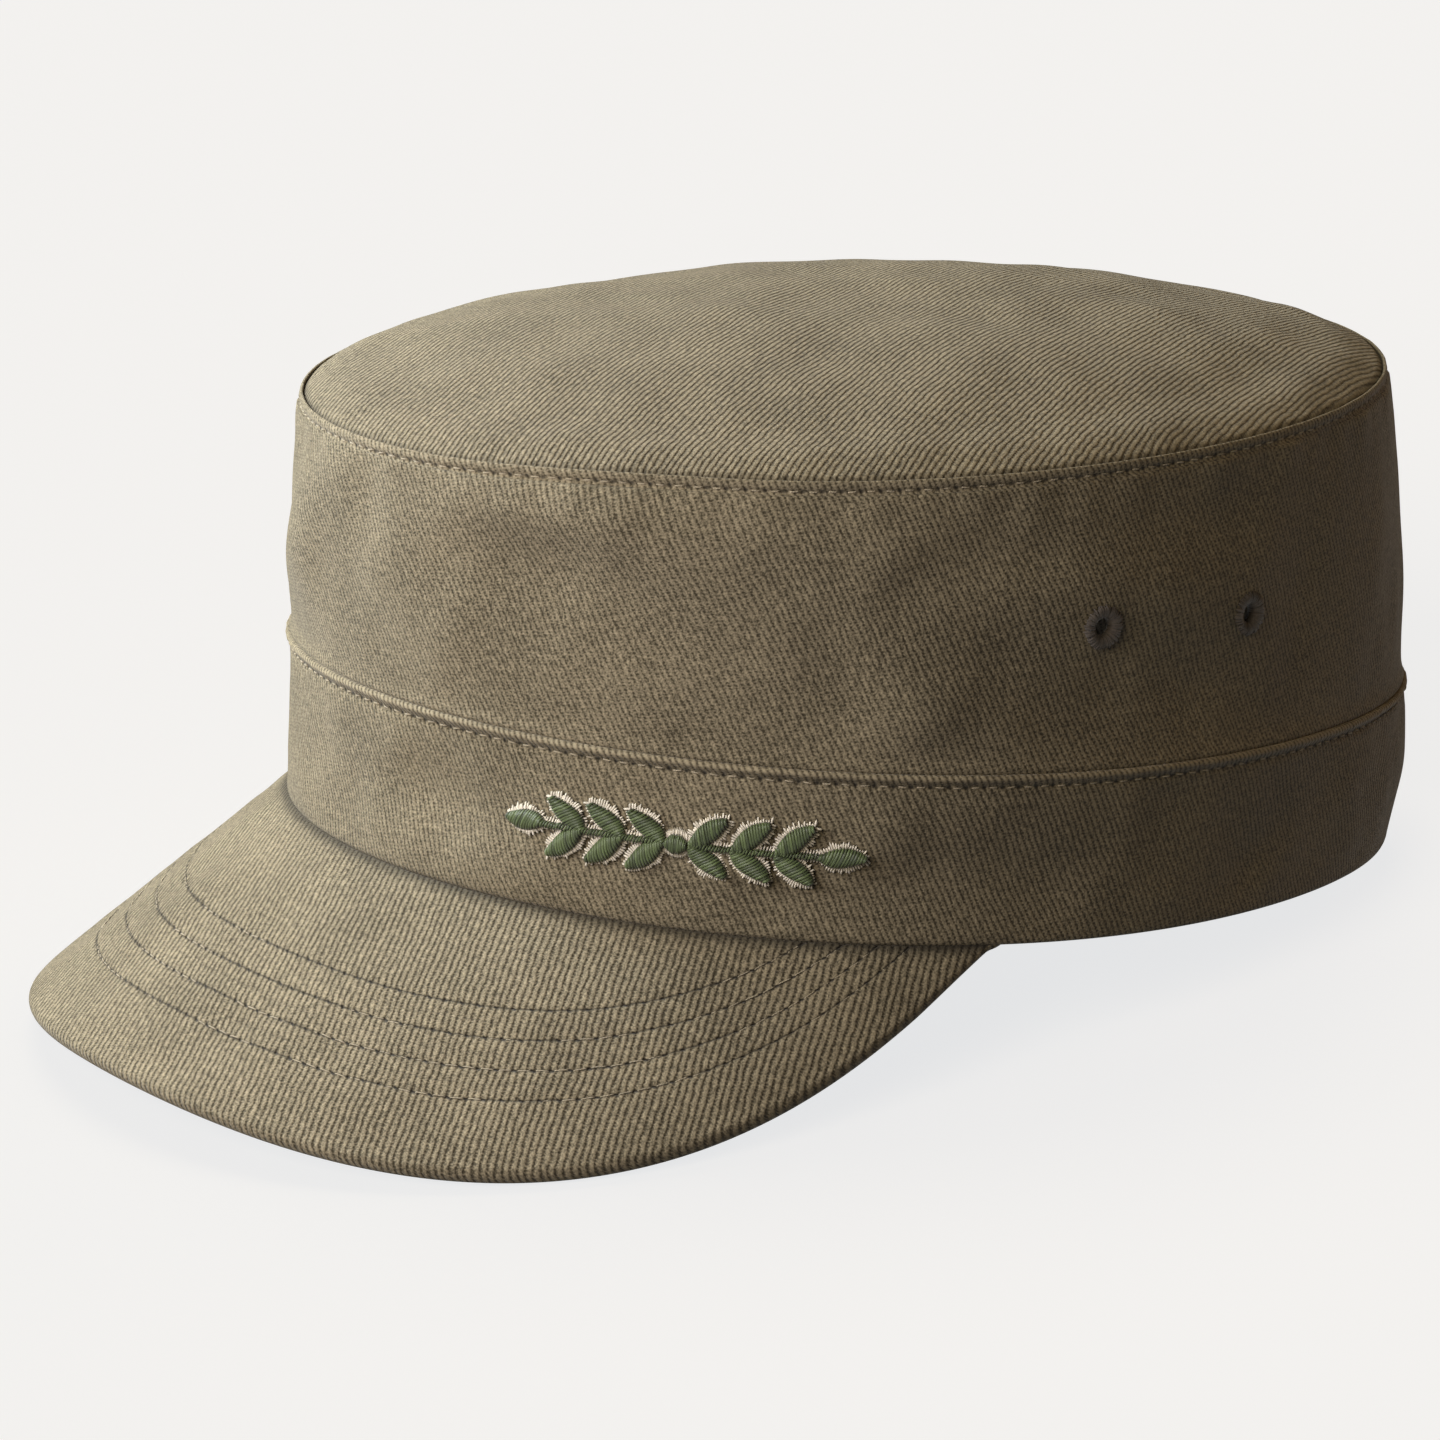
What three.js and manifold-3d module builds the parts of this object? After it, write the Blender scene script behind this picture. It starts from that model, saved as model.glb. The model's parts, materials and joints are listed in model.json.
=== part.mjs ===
// An army cap in cotton twill: a flat-topped crown, a broad sewn-on band and a stiff curved peak.
// Millimetres, +Z up. The peak points to -Y and the wearer's left is +X. The cap stands as it
// rests on a table by itself, on the two low points of its peak and the back of its band.
// The origin is the bottom centre of its bounding box.
import * as THREE from "three";
import { mergeVertices } from "three/addons/utils/BufferGeometryUtils.js";
import Module from "manifold-3d";

const wasm = await Module();
wasm.setup();

// Driving dimensions of the crown and the band
const BAND_RADIUS = 95; // mean, at the band's upper edge: a cap for a head of about 58 cm
const BAND_HEIGHT = 28.4;
const BAND_WALL = 2.1; // two layers of twill
const WELT_PROUD = 0.5; // the folded upper edge of the band stands out by this
const WELT_TALL = 2.2;
const SIDE_HEIGHT = 50.1; // from the band's edge to the top seam, at the middle of the cap
const SIDE_STEP = 0.6; // the crown lies this far inside the band's outer face
const SIDE_BELLY = 1.2; // the side panel swells by this between its seams
const CLOTH = 1.6; // twill and its fused backing
const SIDE_TUCK = 9; // how far the side panel reaches down behind the band
const TOP_SLOPE = 0.078; // the top seam rises towards the back by this much per mm
const DOME_RISE = 12; // the top panel's middle above its seam
const DOME_POWER = 3;
const RIDGE_WIDE = 1.1; // the sewn ridge round the top, outside the seam line
const GAP = 0.3; // between pieces that touch

// Driving dimensions of the peak
const PEAK_LENGTH = 57.3;
const PEAK_HALF_ANGLE = 73; // degrees from the front to each of its tips
const PEAK_THICK = 3; // a board between two layers of twill
const PEAK_TIP_THICK = 1.4;
const PEAK_TIP_LENGTH = 1.2;
const PEAK_THIN_OVER = 12; // it thins where it is shorter than this
const PEAK_FLANGE = 2.0; // the margin that lies under the band
const PEAK_NOSE = 1.2; // the rounding of its outer edge
const PEAK_DROP = { middle: 34.4, square: 29.8, quartic: -13.4, bow: 0.8 }; // degrees
const PEAK_PLAN = { widen: 0.14, power: 3.7, taper: 1.63, forward: 0.33 };

// Radius = mean x (1 + fore cos a + long cos 2a + blunt cos 3a + square cos 4a), a from the front
const OVALS = {
  hem: { mean: 0.991 * BAND_RADIUS, fore: 0, long: 0.048, blunt: -0.032, square: 0.003 },
  band: { mean: BAND_RADIUS, fore: 0, long: 0.048, blunt: -0.032, square: 0.003 },
  top: { mean: 0.94 * BAND_RADIUS, fore: 0.046, long: 0.062, blunt: -0.001, square: 0.003 },
};

// Soft dents and swells of the side panel: where they are, their half widths and their depth
const DENTS = [
  { angle: 24, height: 0.74, wide: 11, tall: 0.26, depth: 1.6 },
  { angle: 69, height: 0.3, wide: 9, tall: 0.3, depth: 1.1 },
  { angle: 47, height: 0.62, wide: 12, tall: 0.35, depth: -0.8 },
  { angle: -9, height: 0.7, wide: 5, tall: 0.25, depth: 0.9 },
  { angle: 128, height: 0.45, wide: 16, tall: 0.4, depth: 1.3 },
  { angle: -60, height: 0.55, wide: 14, tall: 0.3, depth: 1.2 },
  { angle: -118, height: 0.5, wide: 15, tall: 0.35, depth: 1.2 },
  { angle: 175, height: 0.6, wide: 12, tall: 0.3, depth: 0.9 },
];

// Ventilation eyelets: two on each side, each at a share of the side panel's height
const EYELETS = [
  { name: "eyelet_left_front", angle: 82, height: 0.475 },
  { name: "eyelet_left_rear", angle: 103.5, height: 0.443 },
  { name: "eyelet_right_front", angle: -82, height: 0.475 },
  { name: "eyelet_right_rear", angle: -103.5, height: 0.443 },
];
const EYELET_RADIUS = 3.5;
const EYELET_BORE = 1.15;
const EYELET_PROUD = 0.7;
const EYELET_SIDES = 16;

// The embroidered sprig on the band, laid out flat: two rows of leaves along a stem
const SPRIG_ANGLE = 40; // its middle, from the front towards the wearer's left
const SPRIG_LEVEL = 14.5; // above the hem
const SPRIG_PAIRS = 3;
const LEAF = { length: 8.2, width: 3.6, lean: 37, pitch: 7, first: 2.4 };
const STEM_WIDE = 1.2;
const BUD_RADIUS = 1.8;
const GROUND_MARGIN = 0.7; // the pale underlay shows round the leaves by this
const GROUND_THICK = 0.5;
const LEAF_THICK = 1;
const LAYER = 0.12; // the stem stands out from the leaves by this, and the bud from the stem

const COLUMNS = 72; // round the head
const PEAK_COLUMNS = 44;
const PEAK_ROWS = 6;

const radians = THREE.MathUtils.degToRad;
const clamp = THREE.MathUtils.clamp;
const UP = new THREE.Vector3(0, 0, 1);

function ovalRadius(oval, angle) {
  const { mean, fore, long, blunt, square } = oval;
  const waves = fore * Math.cos(angle) + long * Math.cos(2 * angle);
  return mean * (1 + waves + blunt * Math.cos(3 * angle) + square * Math.cos(4 * angle));
}

// A point of an oval at an angle from the front, moved out by some distance, at height z
function ovalPoint(oval, angle, out, z) {
  const radius = ovalRadius(oval, angle) + out;
  return new THREE.Vector3(radius * Math.sin(angle), -radius * Math.cos(angle), z);
}

// The outward direction of an oval, in the plane
function ovalNormal(oval, angle) {
  const step = 0.001;
  const ahead = ovalPoint(oval, angle + step, 0, 0);
  const tangent = ahead.sub(ovalPoint(oval, angle - step, 0, 0)).normalize();
  return new THREE.Vector3(tangent.y, -tangent.x, 0);
}

function seamLevel(y) {
  return BAND_HEIGHT + SIDE_HEIGHT + TOP_SLOPE * y;
}

// How far the side panel stands out from the straight line between its seams, where it is held
function sideSwell(angle, height) {
  let swell = SIDE_BELLY;
  for (const dent of DENTS) {
    const past = angle - radians(dent.angle) + Math.PI;
    const turn = THREE.MathUtils.euclideanModulo(past, 2 * Math.PI) - Math.PI;
    const across = turn / radians(dent.wide);
    const along = (height - dent.height) / dent.tall;
    swell -= dent.depth * Math.exp(-across * across - along * along);
  }
  return 4 * height * (1 - height) * swell;
}

// The side panel between the band's edge (height 0) and the top seam (height 1), depth inwards
function sidePoint(angle, height, depth) {
  const low = ovalPoint(OVALS.band, angle, -SIDE_STEP, BAND_HEIGHT);
  const high = ovalPoint(OVALS.top, angle, RIDGE_WIDE, 0);
  high.z = seamLevel(high.y);
  const point = low.lerp(high, height);
  const outward = ovalNormal(OVALS.band, angle);
  return point.addScaledVector(outward, sideSwell(angle, height) - depth);
}

function bandPoint(angle, level, out) {
  const point = ovalPoint(OVALS.hem, angle, 0, 0);
  point.lerp(ovalPoint(OVALS.band, angle, 0, BAND_HEIGHT), level / BAND_HEIGHT);
  return point.addScaledVector(ovalNormal(OVALS.band, angle), out);
}

function topPoint(angle, share, drop) {
  const rim = ovalPoint(OVALS.top, angle, -GAP - 0.1, 0);
  const level = seamLevel(rim.y * share);
  const dome = DOME_RISE * (1 - share ** DOME_POWER);
  return new THREE.Vector3(rim.x * share, rim.y * share, level + dome - drop);
}

function geometryOf(positions, index) {
  const geometry = new THREE.BufferGeometry();
  geometry.setAttribute("position", new THREE.Float32BufferAttribute(positions, 3));
  geometry.setIndex(index);
  return geometry;
}

// Rings that go up the outside and down the inside, joined into one closed skin.
// A ring is a function of the angle. With poles, the first and last rings are single points.
function ringSkin(rings, poles) {
  const positions = [];
  const index = [];
  const starts = rings.map((ring, row) => {
    const start = positions.length / 3;
    const isPole = poles && (row === 0 || row === rings.length - 1);
    for (let column = 0; column < (isPole ? 1 : COLUMNS); column += 1) {
      positions.push(...ring((2 * Math.PI * column) / COLUMNS));
    }
    return start;
  });
  const lastRow = poles ? rings.length - 1 : rings.length;
  for (let row = 0; row < lastRow; row += 1) {
    const next = (row + 1) % rings.length;
    const fromPole = poles && row === 0;
    const toPole = poles && next === rings.length - 1;
    for (let column = 0; column < COLUMNS; column += 1) {
      const beside = (column + 1) % COLUMNS;
      const a = starts[row] + (fromPole ? 0 : column);
      const b = starts[row] + (fromPole ? 0 : beside);
      const c = starts[next] + (toPole ? 0 : beside);
      const d = starts[next] + (toPole ? 0 : column);
      if (!fromPole) index.push(a, b, c);
      if (!toPole) index.push(a, c, d);
    }
  }
  return geometryOf(positions, index);
}

// Closed outlines in a row, skinned and capped at both ends
function loopSkin(loops) {
  const size = loops[0].length;
  const positions = loops.flat().flatMap((point) => [...point]);
  const index = [];
  for (let row = 0; row < loops.length - 1; row += 1) {
    for (let k = 0; k < size; k += 1) {
      const a = row * size + k;
      const b = (row + 1) * size + k;
      const c = (row + 1) * size + ((k + 1) % size);
      const d = row * size + ((k + 1) % size);
      index.push(a, b, c, a, c, d);
    }
  }
  const last = (loops.length - 1) * size;
  for (let k = 1; k < size - 1; k += 1) {
    index.push(0, k, k + 1);
    index.push(last, last + k + 1, last + k);
  }
  return geometryOf(positions, index);
}

function solidOf(geometry) {
  const bare = geometry.clone();
  bare.deleteAttribute("normal");
  bare.deleteAttribute("uv");
  const merged = mergeVertices(bare, 1e-3);
  const vertProperties = new Float32Array(merged.attributes.position.array);
  const triVerts = new Uint32Array(merged.index.array);
  return new wasm.Manifold(new wasm.Mesh({ numProp: 3, vertProperties, triVerts }));
}

function geometryFrom(solid) {
  const mesh = solid.getMesh();
  return geometryOf([...mesh.vertProperties], [...mesh.triVerts]);
}

function twill(colour) {
  return new THREE.MeshStandardMaterial({ color: colour, roughness: 0.9, metalness: 0 });
}

function namedMesh(name, geometry, material) {
  const mesh = new THREE.Mesh(geometry, material);
  mesh.name = name;
  return mesh;
}

// Crown top: one domed oval of cloth inside the sewn ridge
function makeCrownTop() {
  const shares = [1, 0.95, 0.86, 0.72, 0.5, 0.25, 0];
  const outer = shares.map((share) => (angle) => topPoint(angle, share, GAP));
  const inner = shares.map((share) => (angle) => topPoint(angle, share, GAP + CLOTH)).reverse();
  return namedMesh("crown_top", ringSkin([...inner, ...outer], true), twill(0x776c56));
}

// Crown side: the upright panel, tucked behind the band below and rolled into a ridge above
function makeCrownSide() {
  const tuck = [
    { level: -SIDE_TUCK, out: -2.5 },
    { level: -3.2, out: -2.45 },
    { level: -1.2, out: -1.9 },
    { level: 0.1, out: -1.6 },
  ];
  const ridge = [
    { out: RIDGE_WIDE - 0.1, up: -1.7 },
    { out: RIDGE_WIDE + 0.3, up: -0.9 },
    { out: RIDGE_WIDE, up: -0.1 },
    { out: 0.6 * RIDGE_WIDE, up: 0.3 },
    { out: 0.05, up: 0.1 },
    { out: -0.1, up: -1.2 },
  ];
  const heights = [0.03, 0.22, 0.42, 0.6, 0.78, 0.95];
  const behind = (row, depth) => (angle) => bandPoint(angle, BAND_HEIGHT + row.level, row.out - depth);
  const wall = (height, depth) => (angle) => sidePoint(angle, height, depth);
  const rolled = (row) => (angle) => {
    const point = ovalPoint(OVALS.top, angle, row.out, 0);
    point.z = seamLevel(point.y) + row.up;
    return point;
  };
  const rings = [
    ...tuck.map((row) => behind(row, 0)),
    ...heights.map((height) => wall(height, 0)),
    ...ridge.map(rolled),
    ...heights.toReversed().map((height) => wall(height, CLOTH)),
    behind(tuck[0], CLOTH),
  ];
  let solid = solidOf(ringSkin(rings, false));
  for (const eyelet of EYELETS) {
    const radius = EYELET_BORE + 2 * GAP + 0.35;
    const drill = new THREE.CylinderGeometry(radius, radius, 6 * CLOTH, EYELET_SIDES);
    const seat = eyeletSeat(eyelet);
    drill.applyQuaternion(seat.turn).translate(...seat.place);
    solid = solid.subtract(solidOf(drill));
  }
  return namedMesh("crown_side", geometryFrom(solid), twill(0x6b614d));
}

// Where an eyelet sits on the side panel, and how its axis turns from +Y to point outwards
function eyeletSeat(eyelet) {
  const angle = radians(eyelet.angle);
  const { height } = eyelet;
  const place = sidePoint(angle, height, 0);
  const along = sidePoint(angle + 0.02, height, 0).sub(sidePoint(angle - 0.02, height, 0));
  const upward = sidePoint(angle, height + 0.02, 0).sub(sidePoint(angle, height - 0.02, 0));
  const outward = along.cross(upward).normalize();
  const turn = new THREE.Quaternion().setFromUnitVectors(new THREE.Vector3(0, 1, 0), outward);
  return { place, turn };
}

// Eyelet: a ring of satin stitch that wraps the edge of the hole, like a soft spool
function makeEyelet(eyelet) {
  const sleeve = EYELET_BORE + 0.65;
  const inside = -CLOTH - GAP;
  const profile = [
    [EYELET_BORE, inside - 0.4],
    [EYELET_RADIUS - 0.6, inside - 0.4],
    [EYELET_RADIUS - 0.6, inside],
    [sleeve, inside],
    [sleeve, GAP],
    [EYELET_RADIUS, GAP],
    [EYELET_RADIUS - 0.3, GAP + 0.6 * EYELET_PROUD],
    [EYELET_RADIUS - 1.2, GAP + EYELET_PROUD],
    [EYELET_BORE + 0.2, GAP + 0.6 * EYELET_PROUD],
    [EYELET_BORE, inside - 0.4],
  ].map(([x, y]) => new THREE.Vector2(x, y));
  const mesh = namedMesh(eyelet.name, new THREE.LatheGeometry(profile, EYELET_SIDES), twill(0x4a4136));
  const seat = eyeletSeat(eyelet);
  mesh.position.copy(seat.place);
  mesh.quaternion.copy(seat.turn);
  return mesh;
}

// Band: a doubled strip round the bottom, its upper edge folded into a welt, its hem flat
function makeBand() {
  const below = BAND_HEIGHT - WELT_TALL;
  const profile = [
    { level: 0, out: -0.6 },
    { level: 0.6, out: 0 },
    { level: below - 0.6, out: 0 },
    { level: below, out: -0.15 },
    { level: below + 0.7, out: WELT_PROUD },
    { level: BAND_HEIGHT - 0.6, out: WELT_PROUD },
    { level: BAND_HEIGHT, out: 0 },
    { level: BAND_HEIGHT, out: -1.1 },
    { level: BAND_HEIGHT - 1, out: -1.5 },
    { level: BAND_HEIGHT - 3, out: -BAND_WALL },
    { level: 0.6, out: -BAND_WALL },
    { level: 0, out: -BAND_WALL + 0.3 },
  ];
  const rings = profile.map((row) => (angle) => bandPoint(angle, row.level, row.out));
  return namedMesh("band", ringSkin(rings, false), twill(0x665b47));
}

// Peak: seen from above it reaches out from the hem, and falls away more steeply at its sides
function makePeak() {
  const loops = [];
  for (let column = 0; column <= PEAK_COLUMNS; column += 1) {
    const u = (2 * column) / PEAK_COLUMNS - 1;
    const angle = u * radians(PEAK_HALF_ANGLE);
    const normal = ovalNormal(OVALS.hem, angle);
    const front = new THREE.Vector3(0, -PEAK_PLAN.forward, 0);
    const reach = normal.clone().multiplyScalar(1 - PEAK_PLAN.forward).add(front).normalize();
    const plan = (1 + PEAK_PLAN.widen * u * u) * (1 - Math.abs(u) ** PEAK_PLAN.power) ** PEAK_PLAN.taper;
    const length = Math.max(PEAK_LENGTH * plan, PEAK_TIP_LENGTH);
    const drop = radians(PEAK_DROP.middle + PEAK_DROP.square * u ** 2 + PEAK_DROP.quartic * u ** 4);
    const share = clamp(length / PEAK_THIN_OVER, 0, 1);
    const thick = THREE.MathUtils.lerp(PEAK_TIP_THICK, PEAK_THICK, share);
    loops.push(peakSection({ angle, normal, reach, length, drop, thick }));
  }
  return namedMesh("peak", loopSkin(loops), twill(0x7d705a));
}

// One cut through the peak: up its outer edge, in along the top, down, and out along the underside
function peakSection({ angle, normal, reach, length, drop, thick }) {
  const nose = Math.min(PEAK_NOSE, 0.5 * length);
  const start = ovalPoint(OVALS.hem, angle, 0, -GAP);
  const top = [start.clone()];
  const across = [turned(reach, 0.5 * (drop + radians(PEAK_DROP.bow) * -0.5), true)];
  const point = start.clone();
  let slope = drop;
  for (let row = 1; row <= PEAK_ROWS; row += 1) {
    slope = drop + radians(PEAK_DROP.bow) * ((row - 0.5) / PEAK_ROWS - 0.5);
    point.addScaledVector(turned(reach, slope, false), (length - nose) / PEAK_ROWS);
    top.push(point.clone());
    across.push(turned(reach, slope, true));
  }
  const under = top.map((place, row) => place.clone().addScaledVector(across[row], -thick));
  const tip = point.clone().addScaledVector(turned(reach, slope, false), nose);
  tip.addScaledVector(across.at(-1), -0.5 * thick);
  const flange = start.clone().addScaledVector(normal, -PEAK_FLANGE);
  const flangeUnder = flange.clone().addScaledVector(UP, -thick);
  return [tip, ...top.toReversed(), flange, flangeUnder, ...under];
}

// The direction that falls from the horizontal by a slope, or the one square to it that points up
function turned(reach, slope, square) {
  const flat = square ? Math.sin(slope) : Math.cos(slope);
  const rise = square ? Math.cos(slope) : -Math.sin(slope);
  return reach.clone().multiplyScalar(flat).addScaledVector(UP, rise);
}

// A pointed leaf from the origin along +X, as an outline
function leafShape(length, width) {
  const shape = new THREE.Shape();
  shape.moveTo(0, 0);
  shape.quadraticCurveTo(0.5 * length, -width, length, 0);
  shape.quadraticCurveTo(0.5 * length, width, 0, 0);
  return shape;
}

// Wraps a flat piece round the band: x runs along the band, y up from the sprig's level, z outwards
function wrapped(geometry, out) {
  const middle = radians(SPRIG_ANGLE);
  const radius = ovalRadius(OVALS.band, middle);
  const places = geometry.attributes.position;
  for (let i = 0; i < places.count; i += 1) {
    const angle = middle + places.getX(i) / radius;
    const place = bandPoint(angle, SPRIG_LEVEL + places.getY(i), out + places.getZ(i));
    places.setXYZ(i, ...place);
  }
  return solidOf(geometry);
}

// The whole sprig, each outline grown by a margin, as one solid
function sprigSolid(margin, thick, out) {
  const flat = { depth: thick - 2 * LAYER, bevelEnabled: false, curveSegments: 4 };
  const reach = LEAF.first + SPRIG_PAIRS * LEAF.pitch;
  const stem = new THREE.BoxGeometry(2 * reach, STEM_WIDE + 2 * margin, thick - LAYER, 16, 1, 1);
  let sprig = wrapped(stem.translate(0, 0, 0.5 * thick), out);
  const bud = new THREE.CylinderGeometry(BUD_RADIUS + margin, BUD_RADIUS + margin, thick, 12);
  sprig = sprig.add(wrapped(bud.rotateX(0.5 * Math.PI).translate(0, 0, 0.5 * thick), out));
  const outline = leafShape(LEAF.length + 2 * margin, LEAF.width + 1.4 * margin);
  for (const turn of [0, Math.PI]) {
    for (let pair = 0; pair <= SPRIG_PAIRS; pair += 1) {
      for (const side of pair === SPRIG_PAIRS ? [0] : [-1, 1]) {
        const leaf = new THREE.ExtrudeGeometry(outline, flat);
        leaf.translate(-margin, 0, LAYER).rotateZ(side * radians(LEAF.lean));
        leaf.translate(LEAF.first + pair * LEAF.pitch - 0.4, 0, 0).rotateZ(turn);
        sprig = sprig.add(wrapped(leaf, out));
      }
    }
  }
  return sprig;
}

function makeSprig() {
  const ground = sprigSolid(GROUND_MARGIN, GROUND_THICK, GAP);
  const leaves = sprigSolid(0, LEAF_THICK, 2 * GAP + GROUND_THICK);
  return [
    namedMesh("sprig_ground", geometryFrom(ground), twill(0xe0dcc8)),
    namedMesh("sprig_leaves", geometryFrom(leaves), twill(0x53713e)),
  ];
}

// The lowest height of a mesh when the cap is tipped back by an angle
function lowest(mesh, pitch) {
  const places = mesh.geometry.attributes.position;
  let low = Infinity;
  for (let i = 0; i < places.count; i += 1) {
    low = Math.min(low, places.getZ(i) * Math.cos(pitch) - places.getY(i) * Math.sin(pitch));
  }
  return low;
}

// The angle at which the peak and the back of the band touch the table together, by bisection
function restPitch(peak, band) {
  let flat = 0;
  let steep = radians(25);
  for (let step = 0; step < 40; step += 1) {
    const pitch = 0.5 * (flat + steep);
    if (lowest(peak, pitch) < lowest(band, pitch)) flat = pitch;
    else steep = pitch;
  }
  return steep;
}

const band = makeBand();
const peak = makePeak();
const cap = new THREE.Group();
cap.add(makeCrownTop(), makeCrownSide(), band, peak, ...EYELETS.map(makeEyelet), ...makeSprig());
cap.rotation.x = -restPitch(peak, band);

const armyCap = new THREE.Group();
armyCap.add(cap);
armyCap.updateMatrixWorld(true);
const box = new THREE.Box3().setFromObject(cap, true);
const middle = box.getCenter(new THREE.Vector3());
cap.position.set(-middle.x, -middle.y, -box.min.z);

export default armyCap;
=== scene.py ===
# %% [markdown]
# This script dresses a packed army cap for its portrait. The solids of the cap are already right in size
# and place, but they are plain. Here each panel becomes fine cloth with seams, stitches and twill, the vent
# holes get their wound thread, and the sprig on the band is stitched leaf by leaf.
# Every surface is a formula worked out on a grid with numpy, so its shape can be read in a docstring.

# %% Load the frame
import json
import math

import bmesh
import bpy
import numpy as np
from mathutils import Matrix, Vector

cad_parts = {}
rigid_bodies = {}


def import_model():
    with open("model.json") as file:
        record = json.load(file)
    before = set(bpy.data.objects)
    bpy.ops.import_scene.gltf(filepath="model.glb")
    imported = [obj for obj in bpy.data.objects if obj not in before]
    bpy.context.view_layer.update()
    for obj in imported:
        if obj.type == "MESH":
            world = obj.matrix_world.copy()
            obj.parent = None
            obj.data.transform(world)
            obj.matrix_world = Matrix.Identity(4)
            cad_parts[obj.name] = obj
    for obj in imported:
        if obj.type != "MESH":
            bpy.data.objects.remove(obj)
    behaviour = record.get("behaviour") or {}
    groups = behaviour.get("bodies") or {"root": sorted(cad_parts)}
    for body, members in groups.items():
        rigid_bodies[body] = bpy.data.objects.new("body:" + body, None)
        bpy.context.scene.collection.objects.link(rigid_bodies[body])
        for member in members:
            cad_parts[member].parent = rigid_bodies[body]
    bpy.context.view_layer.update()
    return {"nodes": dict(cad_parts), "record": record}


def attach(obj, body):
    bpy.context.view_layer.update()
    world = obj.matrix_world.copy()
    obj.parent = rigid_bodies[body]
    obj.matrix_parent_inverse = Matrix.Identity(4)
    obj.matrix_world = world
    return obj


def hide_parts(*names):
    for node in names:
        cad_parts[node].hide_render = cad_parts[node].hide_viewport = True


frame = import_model()
print("solids:", sorted(frame["nodes"]))

# %% [markdown]
# The cap rests on a table tipped back a little, on its peak and the back of its band. It is easier to
# describe upright, with the hem level, the peak towards -Y and millimetres for units. The record's mount
# named hem tells how far the cap is tipped: its axis is the upright cap's downward direction. It also tells
# where one point at the back of the hem went, and that fixes the rest.

# %% Named sizes, in millimetres and degrees
MM = 0.001
TAU = 2 * math.pi
BAND_RADIUS = 95
BAND_HEIGHT = 28.4
BAND_WALL = 2.1
SIDE_HEIGHT = 50.1
SIDE_STEP = 0.6
SIDE_BELLY = 1.2
CLOTH = 1.6
SIDE_TUCK = 9
TOP_SLOPE = 0.078
DOME_RISE = 12
DOME_POWER = 3
RIDGE_WIDE = 1.1
OVALS = {
    "hem": dict(mean=0.991 * BAND_RADIUS, fore=0, long=0.048, blunt=-0.032, square=0.003),
    "band": dict(mean=BAND_RADIUS, fore=0, long=0.048, blunt=-0.032, square=0.003),
    "top": dict(mean=0.94 * BAND_RADIUS, fore=0.046, long=0.062, blunt=-0.001, square=0.003),
}


def vectors(*parts):
    """Arrays of coordinates spread to one shape and joined into one array of points."""
    return np.stack(np.broadcast_arrays(*parts), axis=-1)


def oval_radius(oval, angle):
    """Mean x (1 + fore cos a + long cos 2a + blunt cos 3a + square cos 4a), with a from the front."""
    k = OVALS[oval]
    waves = k["fore"] * np.cos(angle) + k["long"] * np.cos(2 * angle)
    return k["mean"] * (1 + waves + k["blunt"] * np.cos(3 * angle) + k["square"] * np.cos(4 * angle))


def oval_point(oval, angle, out=0.0, level=0.0):
    """(r sin a, -r cos a, level), where r is the oval's radius and out together."""
    radius = oval_radius(oval, angle) + out
    return vectors(radius * np.sin(angle), -radius * np.cos(angle), level)


def unit(arrows):
    """Arrows divided by their own lengths."""
    return arrows / np.maximum(np.linalg.norm(arrows, axis=-1, keepdims=True), 1e-9)


def oval_normal(oval, angle):
    """The outward direction of an oval in its plane: its tangent turned back by a quarter."""
    step = 0.001
    tangent = oval_point(oval, angle + step) - oval_point(oval, angle - step)
    return unit(vectors(tangent[..., 1], -tangent[..., 0], 0.0))


# %% The cap's attitude at rest
hem_mount = next(mount for mount in frame["record"]["mounts"] if mount["name"] == "hem")
SIN_PITCH = -hem_mount["axis"][1]
COS_PITCH = -hem_mount["axis"][2]
HEM_MIDDLE = 1.2  # the mount lies this far inside the hem's outer edge


def tipped(points):
    """Upright points or directions tipped back: (x, y cos p + z sin p, z cos p - y sin p)."""
    x, y, z = np.moveaxis(points, -1, 0)
    return vectors(x, y * COS_PITCH + z * SIN_PITCH, z * COS_PITCH - y * SIN_PITCH)


hem_back = oval_point("hem", np.array(math.pi), -HEM_MIDDLE)
PLACE = np.array(hem_mount["pos_m"]) - tipped(hem_back) * MM
print("tipped back by", round(math.degrees(math.asin(SIN_PITCH)), 2), "degrees, moved to", PLACE)

# %% [markdown]
# All panels and threads are made by two helpers. A patch is a set of points and four-sided faces. It also
# says where each corner lay when the cloth was flat, in millimetres, and that becomes the UV map that the
# weave follows, so the ribs bend with the cloth. And it carries three facts for each point: a tone, with
# painted shade below zero, wear and painted light above it, and on threads also their own uneven dye, how
# many stitches of the nearest seam come before it, and how far it lies from that seam. A grid patch suits
# sheets, and a thread patch makes many small tubes at once.

# %% Patches of surface


FAR = 50.0  # mm: no seam is near


def facts(tone, stitch=0.0, away=FAR):
    """Tone (-1 painted shade to +1 wear and painted light), stitches sewn before a point, and its distance in
    mm from their line.
    """
    return vectors(tone, stitch, away)


def outward_faces(points, quads, corners):
    """Turns all faces round if they enclose a negative volume, the sum of p0 . (p1 x p2) over triangles."""
    p = points[quads]
    halves = np.cross(p[:, 1], p[:, 2]) + np.cross(p[:, 2], p[:, 3])
    if np.sum(p[:, 0] * halves) < 0:
        return quads[:, ::-1], corners[:, ::-1]
    return quads, corners


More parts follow.
